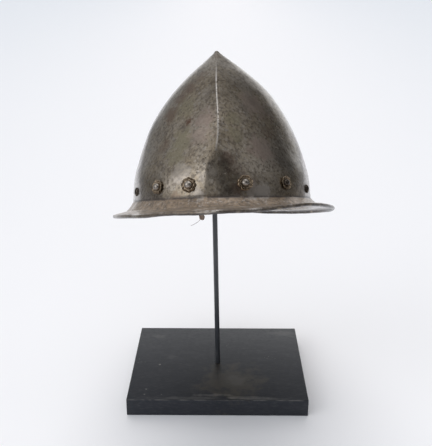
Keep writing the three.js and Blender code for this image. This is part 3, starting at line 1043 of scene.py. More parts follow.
@dataclass(frozen=True)
class BoardFinish:
    """Satin black paint on board, dusty and scuffed."""

    paint: Colour = (0.0078, 0.0086, 0.0118, 1.0)
    dust: Colour = (0.022, 0.022, 0.026, 1.0)
    smudge: Colour = (0.042, 0.036, 0.028, 1.0)
    chip: Colour = (0.200, 0.190, 0.176, 1.0)
    half_width: float = 100.0
    half_depth: float = 82.5
    edge_reach: float = 1.0
    edge_blend: float = 0.0004
    roughness: tuple[float, float] = (0.42, 0.50)
    relief: tuple[float, float] = (0.25, 0.00012)
    top_heights: tuple[float, float] = (0.0188, 0.0192)
    marks: tuple[BoardMark, ...] = (
        BoardMark((-10.0, -73.0, 20.0), 3.0, 0.28, (0.12, 1.0, 1.0)),
        BoardMark((38.0, -78.0, 20.0), 3.0, 0.24, (0.10, 0.9, 1.0)),
        BoardMark((-57.0, 8.0, 20.0), 5.0, 0.10, (0.6, 1.0, 1.0)),
        BoardMark((-77.0, 59.0, 20.0), 5.0, 0.14, (0.4, 1.0, 1.0)),
        BoardMark((84.0, 68.0, 20.0), 11.0, 0.16, (0.5, 1.0, 1.0)),
        BoardMark((20.0, -42.0, 20.0), 10.0, 0.10, (0.6, 0.8, 1.0)),
        BoardMark((-30.0, -79.0, 20.0), 3.0, 0.20, (0.06, 1.0, 1.0)),
        BoardMark((50.0, -80.0, 20.0), 2.5, 0.16, (0.06, 1.0, 1.0)),
        BoardMark((-69.0, -9.0, 20.0), 1.4, 0.60),
        BoardMark((-80.0, -62.0, 20.0), 1.4, 0.60),
        BoardMark((-62.0, -72.0, 20.0), 1.2, 0.55),
        BoardMark((-81.0, -72.0, 20.0), 1.3, 0.55),
        BoardMark((-90.0, -18.0, 20.0), 3.0, 0.60, dark=True),
        BoardMark((40.0, -42.0, 20.0), 2.6, 0.60, dark=True),
        BoardMark((64.0, -61.0, 20.0), 3.0, 0.60, dark=True),
    )
    haze_pattern: Pattern = Pattern(5.0, 0.30, 0.75)
    rubs_pattern: Pattern = Pattern(28.0, 0.58, 0.72)
    specks_pattern: PitPattern = PitPattern(240.0, 0.20, 0.60)
    lines_pattern: Pattern = Pattern(420.0, 0.42, 0.68)
    dusty_pattern: Pattern = Pattern(210.0, 0.46, 0.72)
    grit_pattern: Pattern = Pattern(560.0, 0.50, 0.70)
    broken_pattern: Pattern = Pattern(60.0, 0.40, 0.62)
    haze_share: float = 0.12
    lines_share: float = 0.45
    dusty_share: float = 0.55
    grit_share: float = 0.07
    rubs_share: float = 0.10
    smudge_share: float = 0.95
    specks_share: float = 0.8
    worn_share: float = 0.40

    def material(self, effects: Effects) -> bpy.types.Material:
        """Builds the material.

        Args:
            effects: The shared effects.

        Returns:
            The material.
        """
        material, sheet, shader = new_material(
            "board_black", Specular_IOR_Level=0.50, Specular_Tint=(0.84, 0.90, 1.0, 1.0)
        )
        place = sheet.place()
        haze = effects.patches(sheet, place, self.haze_pattern)
        grain_place = sheet.stretched(place, (0.06, 1.0, 1.0))
        grain = sheet.noise(grain_place, 900.0, 3.0)
        rubs_place = sheet.stretched(place, (0.5, 1.0, 1.0))
        rubs = effects.patches(sheet, rubs_place, self.rubs_pattern)
        specks = effects.holes(sheet, place, self.specks_pattern)
        rag = sheet.noise(place, 60.0, 5.0, 0.65)
        smudge = sheet.group(
            effects.stain, Vector=place, Centre=(0.016, -0.044, 0.020), Radius=0.040, Rag=rag
        )
        colour = sheet.cover(self.paint, haze, self.haze_share, self.dust)
        lines = effects.patches(sheet, sheet.stretched(place, (0.12, 0.5, 1.0)), self.lines_pattern)
        dusty = effects.patches(sheet, place, self.dusty_pattern)
        colour = sheet.cover(colour, lines, self.lines_share, self.dust)
        colour = sheet.cover(colour, dusty, self.dusty_share, self.dust)
        grit_place = sheet.stretched(place, (0.30, 1.0, 1.0))
        grit = effects.patches(sheet, grit_place, self.grit_pattern)
        colour = sheet.cover(colour, grit, self.grit_share, self.chip)
        colour = sheet.cover(colour, rubs, self.rubs_share, self.dust)
        colour = sheet.cover(colour, smudge, self.smudge_share, self.smudge)
        colour = sheet.cover(colour, specks, self.specks_share, self.chip)
        for scuff in self.marks:
            mask = sheet.group(
                effects.stain,
                Vector=sheet.stretched(place, scuff.squeeze),
                Centre=tuple(v * k * MM for v, k in zip(scuff.centre, scuff.squeeze)),
                Radius=scuff.radius * MM,
                Rag=rag,
            )
            mask = sheet.times(mask, scuff.strength)
            colour = sheet.mix(mask, colour, self.paint if scuff.dark else self.chip)
        parts = sheet.add("ShaderNodeSeparateXYZ", {0: place}).outputs
        edge = 0.0
        for axis, half in (("X", self.half_width), ("Y", self.half_depth)):
            away = sheet.math("ABSOLUTE", parts[axis])
            low = (half - self.edge_reach) * MM
            edge = sheet.math("MAXIMUM", sheet.step(away, low, low + self.edge_blend), edge)
        high = sheet.step(parts["Z"], *self.top_heights)
        broken = effects.patches(sheet, place, self.broken_pattern)
        worn = sheet.math("MULTIPLY", sheet.times(edge, high), broken)
        colour = sheet.cover(colour, worn, self.worn_share, self.chip)
        sheet.feed(shader.inputs["Base Color"], colour)
        rough = sheet.span(dusty, *self.roughness)
        sheet.feed(shader.inputs["Roughness"], sheet.math("ADD", rough, sheet.span(grain, -0.04, 0.04)))
        height = sheet.math("ADD", sheet.noise(place, 160.0, 3.0), sheet.times(grain, 1.2))
        bump(sheet, shader, height, *self.relief)
        return material


@dataclass(frozen=True)
class RodFinish:
    """Thin satin black paint on steel."""

    paint: Colour = (0.042, 0.045, 0.051, 1.0)
    rubbed: Colour = (0.095, 0.098, 0.104, 1.0)
    roughness: tuple[float, float] = (0.32, 0.48)
    relief: tuple[float, float] = (0.25, 0.0002)
    rubbed_pattern: Pattern = Pattern(240.0, 0.52, 0.74)
    rubbed_share: float = 0.6

    def material(self, effects: Effects) -> bpy.types.Material:
        """Builds the material.

        Args:
            effects: The shared effects.

        Returns:
            The material.
        """
        material, sheet, shader = new_material("rod_black")
        place = sheet.stretched(sheet.place(), (1.0, 1.0, 0.25))
        rubbed = effects.patches(sheet, place, self.rubbed_pattern)
        colour = sheet.cover(self.paint, rubbed, self.rubbed_share, self.rubbed)
        sheet.feed(shader.inputs["Base Color"], colour)
        sheet.feed(shader.inputs["Roughness"], sheet.span(rubbed, *self.roughness))
        bump(sheet, shader, sheet.noise(place, 500.0, 3.0), *self.relief)
        return material


# Form of the helmet


@dataclass
class Seating:
    """How the helmet sits on the rod, in millimetres and degrees."""

    base_thickness: float = 20.0
    rod_length: float = 357.0
    rod_diameter: float = 5.6
    rod_forward: float = 3.0
    rod_lean: float = 1.06
    tilt: float = 20.0
    roll: float = 1.9
    turn: float = 1.5
    apex_aside: float = 5.0

    def rod_foot(self) -> Vector:
        """Where the rod comes out of the base."""
        return Vector((0.0, -self.rod_forward, self.base_thickness))

    def rod_axis(self) -> Vector:
        """Direction of the rod."""
        lean = math.radians(self.rod_lean)
        return Vector((-math.sin(lean), 0.0, math.cos(lean)))

    def turned(self) -> Matrix:
        """The helmet's turn."""
        return (
            Matrix.Rotation(math.radians(-self.turn), 4, "Z")
            @ Matrix.Rotation(math.radians(-self.tilt), 4, "X")
            @ Matrix.Rotation(math.radians(-self.roll), 4, "Y")
        )

    def matrix(self, apex: Vector, top: float) -> Matrix:
        """The helmet's place: its apex beside the rod's end, and as high as the CAD node is.

        Args:
            apex: The apex in the helmet's own frame.
            top: Height of the helmet's highest point.

        Returns:
            The matrix from the helmet's own frame, in millimetres.
        """
        turned = self.turned()
        tip = self.rod_foot() + self.rod_axis() * (self.rod_length - self.rod_diameter / 2)
        peak = turned @ apex
        place = Vector((tip.x + self.apex_aside - peak.x, tip.y - peak.y, top - peak.z))
        return Matrix.Translation(place) @ turned


@dataclass
class HelmetForm:
    """Skull and brim as formulas over a height and a place round the helmet, in millimetres."""

    skull_width: float = 187.0
    skull_length: float = 226.0
    skull_height: float = 152.0
    apex_forward: float = 30.0
    keel_fall: float = 27.0
    steel: float = 1.4
    brim_width: float = 234.5
    brim_aside: float = 2.9
    brim_length: float = 304.0
    brim_drop: float = 13.5
    brim_corner_drop: float = 8.5
    flare_radius: float = 9.0
    flare_top: float = -0.7
    flare_reach: float = 1.0
    flare_hollow: float = 0.5
    brim_point: float = 15.0
    edge_roll: float = 3.8
    rivet_height: float = 11.0
    curves: dict[str, TableCurve] = field(
        default_factory=lambda: table_curves(SKULL_TABLE, SKULL_COLUMNS)
    )
    brim_curve: TableCurve = field(
        default_factory=lambda: table_curves(BRIM_TABLE, ("around", "drop"))["drop"]
    )

    def apex(self) -> Vector:
        """The outer apex."""
        return Vector((0.0, -self.apex_forward, self.skull_height))

    def inner_apex(self) -> Vector:
        """The apex of the inner face."""
        fall = math.radians(self.keel_fall)
        return self.apex() - Vector((0.0, 0.0, self.steel / math.cos(fall)))

    @staticmethod
    def outline(around: np.ndarray, sides: dict[str, object]) -> tuple[np.ndarray, np.ndarray]:
        """Level outline of four conic quarters.

        Args:
            around: Place round the helmet, from the near end of the keel through the right side.
            sides: The outline's right, left, near, far, wide, fall (radians) and bend.

        Returns:
            The x and y of the points.
        """
        turn = np.mod(around, 1.0) * 4
        quarter = np.floor(turn).astype(int) % 4
        share = turn - np.floor(turn)
        right = quarter < 2
        near = (quarter == 0) | (quarter == 3)
        from_end = np.where(quarter % 2 == 0, share, 1 - share)
        side_x = np.where(right, sides["right"], sides["left"])
        end_y = np.where(near, sides["near"], sides["far"])
        inward = np.sign(sides["wide"] - end_y)
        corner_y = end_y + inward * np.abs(side_x) * np.tan(sides["fall"])
        a = (1 - from_end) ** 2
        b = math.sqrt(2) * from_end * (1 - from_end)
        c = from_end**2
        end_x = np.where(near, sides["bend"], 0.0)
        total = a + b + c
        x = (a * end_x + b * side_x + c * side_x) / total
        y = (a * end_y + b * corner_y + c * sides["wide"]) / total
        return x, y

    def skull_points(self, rise: np.ndarray, around: np.ndarray) -> np.ndarray:
        """Points of the skull's outer face.

        Args:
            rise: Heights as shares of the skull's height.
            around: Places round the helmet, to be matched with the heights.

        Returns:
            Points, one for each pair.
        """
        rise, around = np.broadcast_arrays(rise, around)
        at = {name: curve.at(rise) for name, curve in self.curves.items()}
        half_width = self.skull_width / 2
        half = half_width * at["half"]
        lean = half_width * at["lean"]
        sides = {
            "right": half + lean,
            "left": lean - half,
            "near": -self.apex_forward - (self.skull_length / 2 - self.apex_forward) * at["near"],
            "far": -self.apex_forward + (self.skull_length / 2 + self.apex_forward) * at["far"],
            "wide": -self.apex_forward * at["wide"],
            "fall": math.radians(self.keel_fall) * at["keel"],
            "bend": half_width * at["bend"],
        }
        x, y = self.outline(around, sides)
        return np.stack([x, y, self.skull_height * rise], axis=-1)

    def brim_section(self, around: np.ndarray) -> dict[str, np.ndarray]:
        """Section of the brim at places round the helmet.

        Args:
            around: The places.

        Returns:
            The wall's foot, the way out, the reach, the fall (radians) and the fillet's length.
        """
        foot = self.skull_points(np.zeros_like(around), around)[..., :2]
        sides = {
            "right": self.brim_aside + self.brim_width / 2,
            "left": self.brim_aside - self.brim_width / 2,
            "near": -self.brim_length / 2,
            "far": self.brim_length / 2,
            "wide": 0.0,
            "fall": math.radians(self.brim_point),
            "bend": 0.0,
        }
        edge = np.stack(self.outline(around, sides), axis=-1)
        out = edge - foot
        length = np.linalg.norm(out, axis=-1)
        reach = length - self.edge_roll / 2
        drop = self.brim_drop * self.brim_curve.at(around) - self.edge_roll / 2
        fall = np.arctan2(drop - self.brim_corner_drop, reach)
        tangent = self.flare_radius / np.tan((math.pi / 2 + fall) / 2)
        return {
            "foot": foot,
            "out": out / length[..., None],
            "reach": reach,
            "fall": fall,
            "tangent": tangent,
        }

    def brim_points(self, share: float, around: np.ndarray) -> np.ndarray:
        """One ring of the brim's upper face.

        Args:
            share: 0 to 0.5 down the hollow flare from its crease, 0.5 to 1 on the flat.
            around: Places round the helmet.

        Returns:
            The ring's points.
        """
        section = self.brim_section(around)
        cos_fall = np.cos(section["fall"])
        sin_fall = np.sin(section["fall"])
        start = section["tangent"] + self.flare_reach
        if share < 0.5:
            t = share * 2
            hollow = self.flare_hollow * 4 * t * (1 - t)
            away = start * cos_fall * t - hollow * 0.7
            foot_height = -self.brim_corner_drop - start * sin_fall
            height = self.flare_top * (1 - t) + foot_height * t - hollow * 0.7
        else:
            end = section["reach"] / cos_fall
            along = start + (end - start) * (share * 2 - 1)
            away = along * cos_fall
            height = -self.brim_corner_drop - along * sin_fall
        plan = section["foot"] + section["out"] * away[..., None]
        return np.concatenate([plan, height[..., None]], axis=-1)

    def roll_points(self, sweep: float, around: np.ndarray) -> np.ndarray:
        """One ring of the edge, which is rolled under.

        Args:
            sweep: Angle turned from the brim's upper face, in radians.
            around: Places round the helmet.

        Returns:
            The ring's points.
        """
        section = self.brim_section(around)
        radius = self.edge_roll / 2
        angle = math.pi / 2 - section["fall"] - sweep
        aside = radius * (np.cos(angle) - np.sin(section["fall"]))
        up = radius * (np.sin(angle) - np.cos(section["fall"]))
        plan = section["out"] * aside[..., None]
        return self.brim_points(1.0, around) + np.concatenate([plan, up[..., None]], axis=-1)

    def roll_end(self) -> float:
        """Angle at which the rolled edge meets the brim's underside."""
        radius = self.edge_roll / 2
        return 3 * math.pi / 2 + math.asin(1 - self.steel / radius) - 0.2

    def rivet_seat(self, azimuth: float, height: float) -> Matrix:
        """Where a rivet sits, in the helmet's own frame.

        Args:
            azimuth: Degrees from the near end of the keel towards the right.
            height: Share of the rivets' usual height.

        Returns:
            A matrix whose z points out of the wall and whose y points up it, in millimetres.
        """
        rise = self.rivet_height * height / self.skull_height
        wanted = math.radians(azimuth) % math.tau
        low, high = 0.0, 1.0
        for _ in range(40):
            middle = (low + high) / 2
            x, y, _z = self.skull_points(np.array(rise), np.array(middle))
            if math.atan2(x, -y) % math.tau < wanted:
                low = middle
            else:
                high = middle
        point = Vector(self.skull_points(np.array(rise), np.array(low)))
        left = Vector(self.skull_points(np.array(rise), np.array(max(low - 0.004, 0.0))))
        right = Vector(self.skull_points(np.array(rise), np.array(min(low + 0.004, 0.996))))
        above = Vector(self.skull_points(np.array(rise + 0.004), np.array(low)))
        out = (right - left).cross(above - point).normalized()
        level = Vector((-out.y, out.x, 0.0)).normalized()
        up = out.cross(level)
        matrix = Matrix((level, up, out)).transposed().to_4x4()
        matrix.translation = point
        return matrix


@dataclass
class Shell:
    """The finished skull and brim: one sheet of steel with its keel, dents and rolled edge."""

    form: HelmetForm
    matrix: Matrix
    seats: list[Vector]
    columns: int = 336
    skull_rows: int = 96
    inner_rows: int = 40
    skull_end: float = 0.001
    keel_width: float = 0.7
    keel_soft_width: float = 11.0
    keel_soft_rises: tuple[float, float] = (0.22, 0.34)
    inside_dirt: float = 0.55
    under_dirt: float = 0.10
    flare_rows: int = 14
    flat_rows: int = 13
    roll_rows: int = 16
    inner_start: float = 0.045
    inner_flare_rows: int = 9
    inner_flat_rows: int = 6
    inner_flat_end: float = 0.9
    keel_wear_width: float = 0.7
    keel_wear_rises: tuple[float, ...] = (0.24, 0.34, 0.78, 0.88)
    keel_wear_shares: tuple[float, ...] = (0.0, 0.9, 1.0, 0.15)
    rim_wear: float = 0.8
    rim_wear_width: float = 1.6
    rim_wear_sweep: float = 1.2
    brim_first: float = 0.6
    brim_sweep: float = 2.5
    # Darkness of the rows along the crease where the brim turns out.
    crease_dark: tuple[float, ...] = (0.5, 1.0, 0.8, 0.2)
    # Sweeps of the rolled edge over which the painted shade under it comes in.
    roll_shade_sweeps: tuple[float, float] = (1.0, 1.7)
    crease_left: float = 11.0
    crease_right: float = 14.0
    dent_waves: tuple[tuple[float, float], ...] = ((46.0, 0.55), (17.0, 0.26), (7.0, 0.07))
    seat_calm: float = 11.0

    def arounds(self) -> np.ndarray:
        """Places of the columns, closer together near the two ends of the keel."""
        turn = np.arange(self.columns) / self.columns * 4
        quarter = np.floor(turn)
        share = turn - quarter
        first = quarter % 2 == 0
        from_end = np.where(first, share, 1 - share) ** 1.5
        return (quarter + np.where(first, from_end, 1 - from_end)) / 4

    def dents(self, points: np.ndarray) -> np.ndarray:
        """Depth of the hammered dents, which die out round the rivets.

        Args:
            points: Points of the outer face.

        Returns:
            The move out of the face at each point, in millimetres.
        """
        flat = points.reshape(-1, 3)
        depth = np.zeros(len(flat))
        for layer, (wave, amount) in enumerate(self.dent_waves):
            shift = Vector((3.1 * layer + 0.7, 1.7 - layer, 2.3 * layer))
            values = [noise.noise(Vector(p) / wave + shift) for p in flat]
            depth += amount * np.array(values)
        for seat in self.seats:
            away = np.linalg.norm(flat - np.array(seat), axis=1)
            depth *= 1 - np.exp(-((away / self.seat_calm) ** 2))
        return depth.reshape(points.shape[:-1])

    def normals(self, rows: np.ndarray) -> np.ndarray:
        """Ways out of the face at each point of a set of rings that runs from the top down."""
        along = np.gradient(rows, axis=0)
        across = np.roll(rows, -1, axis=1) - np.roll(rows, 1, axis=1)
        out = np.cross(along, across)
        return out / np.maximum(np.linalg.norm(out, axis=-1, keepdims=True), 1e-9)

    def soften_keel(self, rows: np.ndarray, rises: np.ndarray) -> np.ndarray:
        """Rounds the sharp line of the keel.

        Args:
            rows: Rings of the skull.
            rises: Their heights.

        Returns:
            The rings with a narrow round crest.
        """
        rows = rows.copy()
        fall = np.tan(math.radians(self.form.keel_fall) * self.form.curves["keel"].at(rises))
        widths = np.interp(rises, self.keel_soft_rises, (self.keel_soft_width, self.keel_width))
        for column, sign in ((0, 1.0), (self.columns // 2, -1.0)):
            aside = np.abs(rows[..., 0] - rows[:, column : column + 1, 0])
            same_end = np.sign(rows[..., 1] + self.form.apex_forward) == -sign
            width = np.minimum(widths, 0.4 * np.ptp(rows[..., 0], axis=1))[:, None]
            pulled = np.clip(width - aside, 0, None) ** 2 / (2 * width) * fall[:, None]
            rows[..., 1] += np.where(same_end, sign * pulled, 0.0)
        return rows

    def crease(self, rows: np.ndarray, rises: np.ndarray) -> np.ndarray:
        """Height of the blow that turned the keel's near foot to the left.

        Args:
            rows: Rings of the skull.
            rises: Their heights.

        Returns:
            The move out of the face at each point, in millimetres.
        """
        curves = table_curves(CREASE_TABLE, CREASE_COLUMNS)
        aside = rows[..., 0] - curves["aside"].at(rises)[:, None]
        reach = np.where(aside < 0, self.crease_left, self.crease_right)
        height = curves["height"].at(rises)[:, None] * np.exp(-np.abs(aside) / reach)
        return np.where(rows[..., 1] < -self.form.apex_forward, height, 0.0)

    def outer(self, around: np.ndarray) -> tuple[np.ndarray, np.ndarray]:
        """Outer face from just under the apex to the end of the rolled edge.

        Args:
            around: Places of the columns.

        Returns:
            The rings and their wear masks.
        """
        form = self.form
        shares = (np.arange(self.skull_rows) + 1) / self.skull_rows
        rises = 1 - (1 - self.skull_end) * shares**1.3
        skull = self.soften_keel(form.skull_points(rises[:, None], around[None, :]), rises)
        flare_shares = np.linspace(0, 0.5, self.flare_rows)
        brim_shares = np.concatenate([flare_shares, np.linspace(0.5, 1, self.flat_rows)[1:]])
        brim = np.stack([form.brim_points(share, around) for share in brim_shares])
        rows = np.concatenate([skull, brim])
        out = self.normals(rows)
        depth = self.dents(rows)
        depth[: len(skull)] += self.crease(skull, rises)
        rows = rows + out * depth[..., None]
        shift = rows[-1] - brim[-1]
        sweeps = np.linspace(0, form.roll_end(), self.roll_rows)[1:]
        roll = np.stack([form.roll_points(sweep, around) + shift for sweep in sweeps])

        wear = np.zeros((len(rows) + len(roll), self.columns, len(Wear)))
        first = len(skull)
        last = len(rows)
        fade = np.interp(rises, self.keel_wear_rises, self.keel_wear_shares)[:, None]
        for column in (0, self.columns // 2):
            away = np.linalg.norm(skull - skull[:, column : column + 1], axis=-1)
            wear[:first, :, Wear.KEEL] += np.exp(-((away / self.keel_wear_width) ** 2)) * fade
        away = np.linalg.norm(brim - brim[-1:], axis=-1)
        wear[first:last, :, Wear.RIM] = np.exp(-((away / self.rim_wear_width) ** 2)) * self.rim_wear
        turned = np.exp(-((sweeps / self.rim_wear_sweep) ** 2))
        wear[last:, :, Wear.RIM] = turned[:, None] * self.rim_wear
        wear[first:last, :, Wear.BRIM] = 1.0
        wear[first, :, Wear.BRIM] = self.brim_first
        wear[last:, :, Wear.BRIM] = np.clip(1 - sweeps / self.brim_sweep, 0, 1)[:, None]
        # A darker line along the crease where the brim turns out.
        dirty = slice(first - 1, first - 1 + len(self.crease_dark))
        wear[dirty, :, Wear.DIRT] = np.array(self.crease_dark)[:, None]
        # Painted shade on the underside of the rolled edge.
        under = np.interp(sweeps, self.roll_shade_sweeps, (0.0, 1.0))
        wear[last:, :, Wear.DIRT] = under[:, None]
        return np.concatenate([rows, roll]), wear

    def inner(self, around: np.ndarray) -> np.ndarray:
        """Inner face from beside the rolled edge up to just under the apex.

        Args:
            around: Places of the columns.

        Returns:
            The rings from the bottom up.
        """
        form = self.form
        steps = np.linspace(self.inner_start, 1.0, self.inner_rows)
        rises = 1 - (1 - self.skull_end) * steps**1.1
        skull = form.skull_points(rises[:, None], around[None, :])
        flat_shares = np.linspace(0.5, self.inner_flat_end, self.inner_flat_rows)[1:]
        shares = np.concatenate([np.linspace(0, 0.5, self.inner_flare_rows), flat_shares])
        brim = np.stack([form.brim_points(share, around) for share in shares])
        rows = np.concatenate([skull, brim])
        depth = self.dents(rows) - form.steel
        return (rows + self.normals(rows) * depth[..., None])[::-1]

    def build(self) -> bpy.types.Object:
        """Models the shell.

        Returns:
            The finished mesh.
        """
        around = self.arounds()
        outer, wear = self.outer(around)
        inner = self.inner(around)
        ring = np.ones((1, self.columns, 1))
        apex = ring * np.array(self.form.apex())
        inner_apex = ring * np.array(self.form.inner_apex())
        half_way = (inner[-1:] + inner_apex) / 2
        points = np.concatenate([apex, outer, inner, half_way, inner_apex])
        masks = np.zeros(points.shape[:2] + (len(Wear),))
        inside = len(outer) + 1
        skull_start = inside + self.inner_flare_rows + self.inner_flat_rows - 1
        masks[1:inside] = wear
        masks[inside:skull_start, :, Wear.DIRT] = self.under_dirt
        masks[skull_start:, :, Wear.DIRT] = self.inside_dirt
        # Darkest where the rolled edge meets the brim's underside: painted shade.
        masks[inside, :, Wear.DIRT] = 1.0
        rows = len(points)

        clear_selection()
        bpy.ops.mesh.primitive_grid_add(
            x_subdivisions=self.columns, y_subdivisions=rows - 1, size=1.0, calc_uvs=False
        )
        piece = bpy.context.object
        piece.name = "finished_skull_and_brim"
        place = read_points(piece)
        across = np.rint((place[:, 0] + 0.5) * self.columns).astype(int)
        column = (self.columns - across) % self.columns
        row = np.rint((place[:, 1] + 0.5) * (rows - 1)).astype(int)
        turn = np.array(self.matrix)
        world = points @ turn[:3, :3].T + turn[:3, 3]
        write_points(piece, world[row, column] * MM)
        layer = piece.data.attributes.new("wear", "FLOAT_COLOR", "POINT")
        layer.data.foreach_set("color", masks[row, column].astype(np.float32).ravel())
        edit(piece)
        bpy.ops.mesh.select_all(action="SELECT")
        bpy.ops.mesh.remove_doubles(threshold=1e-6)
        bpy.ops.object.mode_set(mode="OBJECT")
        bpy.ops.object.shade_smooth()
        return piece


def mark(piece: bpy.types.Object, name: str, values: Sequence[float] | float) -> None:
    """Stores a mask on a piece's vertices, which its finish reads.

    Args:
        piece: The piece.
        name: The mask's name.
        values: One value from 0 to 1 for each vertex, or one for all.
    """
    layer = piece.data.attributes.new(name, "FLOAT", "POINT")
    given = np.broadcast_to(np.asarray(values, np.float32), len(piece.data.vertices))
    layer.data.foreach_set("value", np.ascontiguousarray(given))


@dataclass
class LiningRivets:
    """Domed rivets round the foot of the skull, with their shanks and clinched ends."""

    head: float = 8.4
    dome: float = 3.8
    shank: float = 3.4
    clinch: float = 6.4
    clinch_tip: float = 5.1
    clinch_thickness: float = 1.2
    gap: float = 0.3
    rosette_thickness: float = 0.6
    sag: float = 0.4
    leather: float = 1.5
    scrap_rivet: int = 2
    rough_depth: float = 0.00012
    rough_wave: float = 0.0032

    def build_one(self, head_seat: float, grip: float) -> bpy.types.Object:
        """Models one rivet: half a ball, its shank and the clinched end.

        Args:
            head_seat: Height of the head's seat over the wall, in millimetres.
            grip: Depth at which the clinched end starts, in millimetres.

        Returns:
            The rivet at the origin, with its head towards +Z.
        """
        clear_selection()
        radius = self.head / 2 * MM
        bpy.ops.mesh.primitive_uv_sphere_add(segments=36, ring_count=22, radius=radius)
        piece = bpy.context.object
        edit(piece)
        bpy.ops.mesh.select_all(action="SELECT")
        bpy.ops.mesh.bisect(plane_co=(0, 0, 0), plane_no=(0, 0, 1), clear_inner=True)
        bpy.ops.mesh.select_all(action="SELECT")
        flatten = self.dome / (self.head / 2)
        bpy.ops.transform.resize(value=(1.0, 1.0, flatten), center_override=(0.0, 0.0, 0.0))
        bpy.ops.transform.translate(value=(0.0, 0.0, head_seat * MM))
        select_points(piece, lambda co: co.z < head_seat * MM + 1e-6)
        profile = (
            (self.shank / self.head, 0.0),
            (1.0, -(head_seat + grip)),
            (self.clinch / self.shank, 0.0),
            (self.clinch_tip / self.clinch, -self.clinch_thickness),
        )
        for scale, drop in profile:
            bpy.ops.mesh.extrude_region_move(
                TRANSFORM_OT_translate={"value": (0.0, 0.0, drop * MM)}
            )
            bpy.ops.transform.resize(value=(scale, scale, 1.0), center_override=(0.0, 0.0, 0.0))
        bpy.ops.mesh.edge_face_add()
        bpy.ops.mesh.select_all(action="SELECT")
        bpy.ops.mesh.normals_make_consistent(inside=False)
        bpy.ops.object.mode_set(mode="OBJECT")
        bpy.ops.object.shade_smooth_by_angle(angle=math.radians(40))
        top = (head_seat + self.dome) * MM
        heights = read_points(piece)[:, 2] / top
        mark(piece, "top", np.clip((heights - 0.18) / 0.55, 0.0, 1.0))
        return piece

    def build(self, form: HelmetForm, seats: list[Matrix], helmet: Matrix) -> list[bpy.types.Object]:
        """Sets one rivet in each hole.

        Args:
            form: The helmet's form.
            seats: The rivets' seats in the helmet's frame.
            helmet: The helmet's place in millimetres.

        Returns:
            The rivets in the order of the table.
        """
        pieces = []
        for index, (row, seat) in enumerate(zip(RIVET_TABLE, seats)):
            head_seat = self.rosette_thickness + 2 * self.gap if row.rosette else self.gap
            grip = form.steel + self.sag + self.gap
            if index == self.scrap_rivet:
                grip += self.leather + self.gap
            piece = self.build_one(head_seat, grip)
            piece.name = f"finished_rivet_{index + 1:02d}"
            mark(piece, "polish", row.head_polish)
            rough_up(piece, self.rough_depth, self.rough_wave, 2.7 * index + 0.4)
            points = read_points(piece)
            points *= np.array([row.size, row.size, 1.0])
            points[:, 2] *= np.where(points[:, 2] > head_seat * MM, row.dome, 1.0)
            write_points(piece, points)
            piece.data.transform(Matrix.Rotation(0.9 * index, 4, "Z"))
            piece.data.transform(to_metres(helmet @ seat))
            pieces.append(piece)
        return pieces


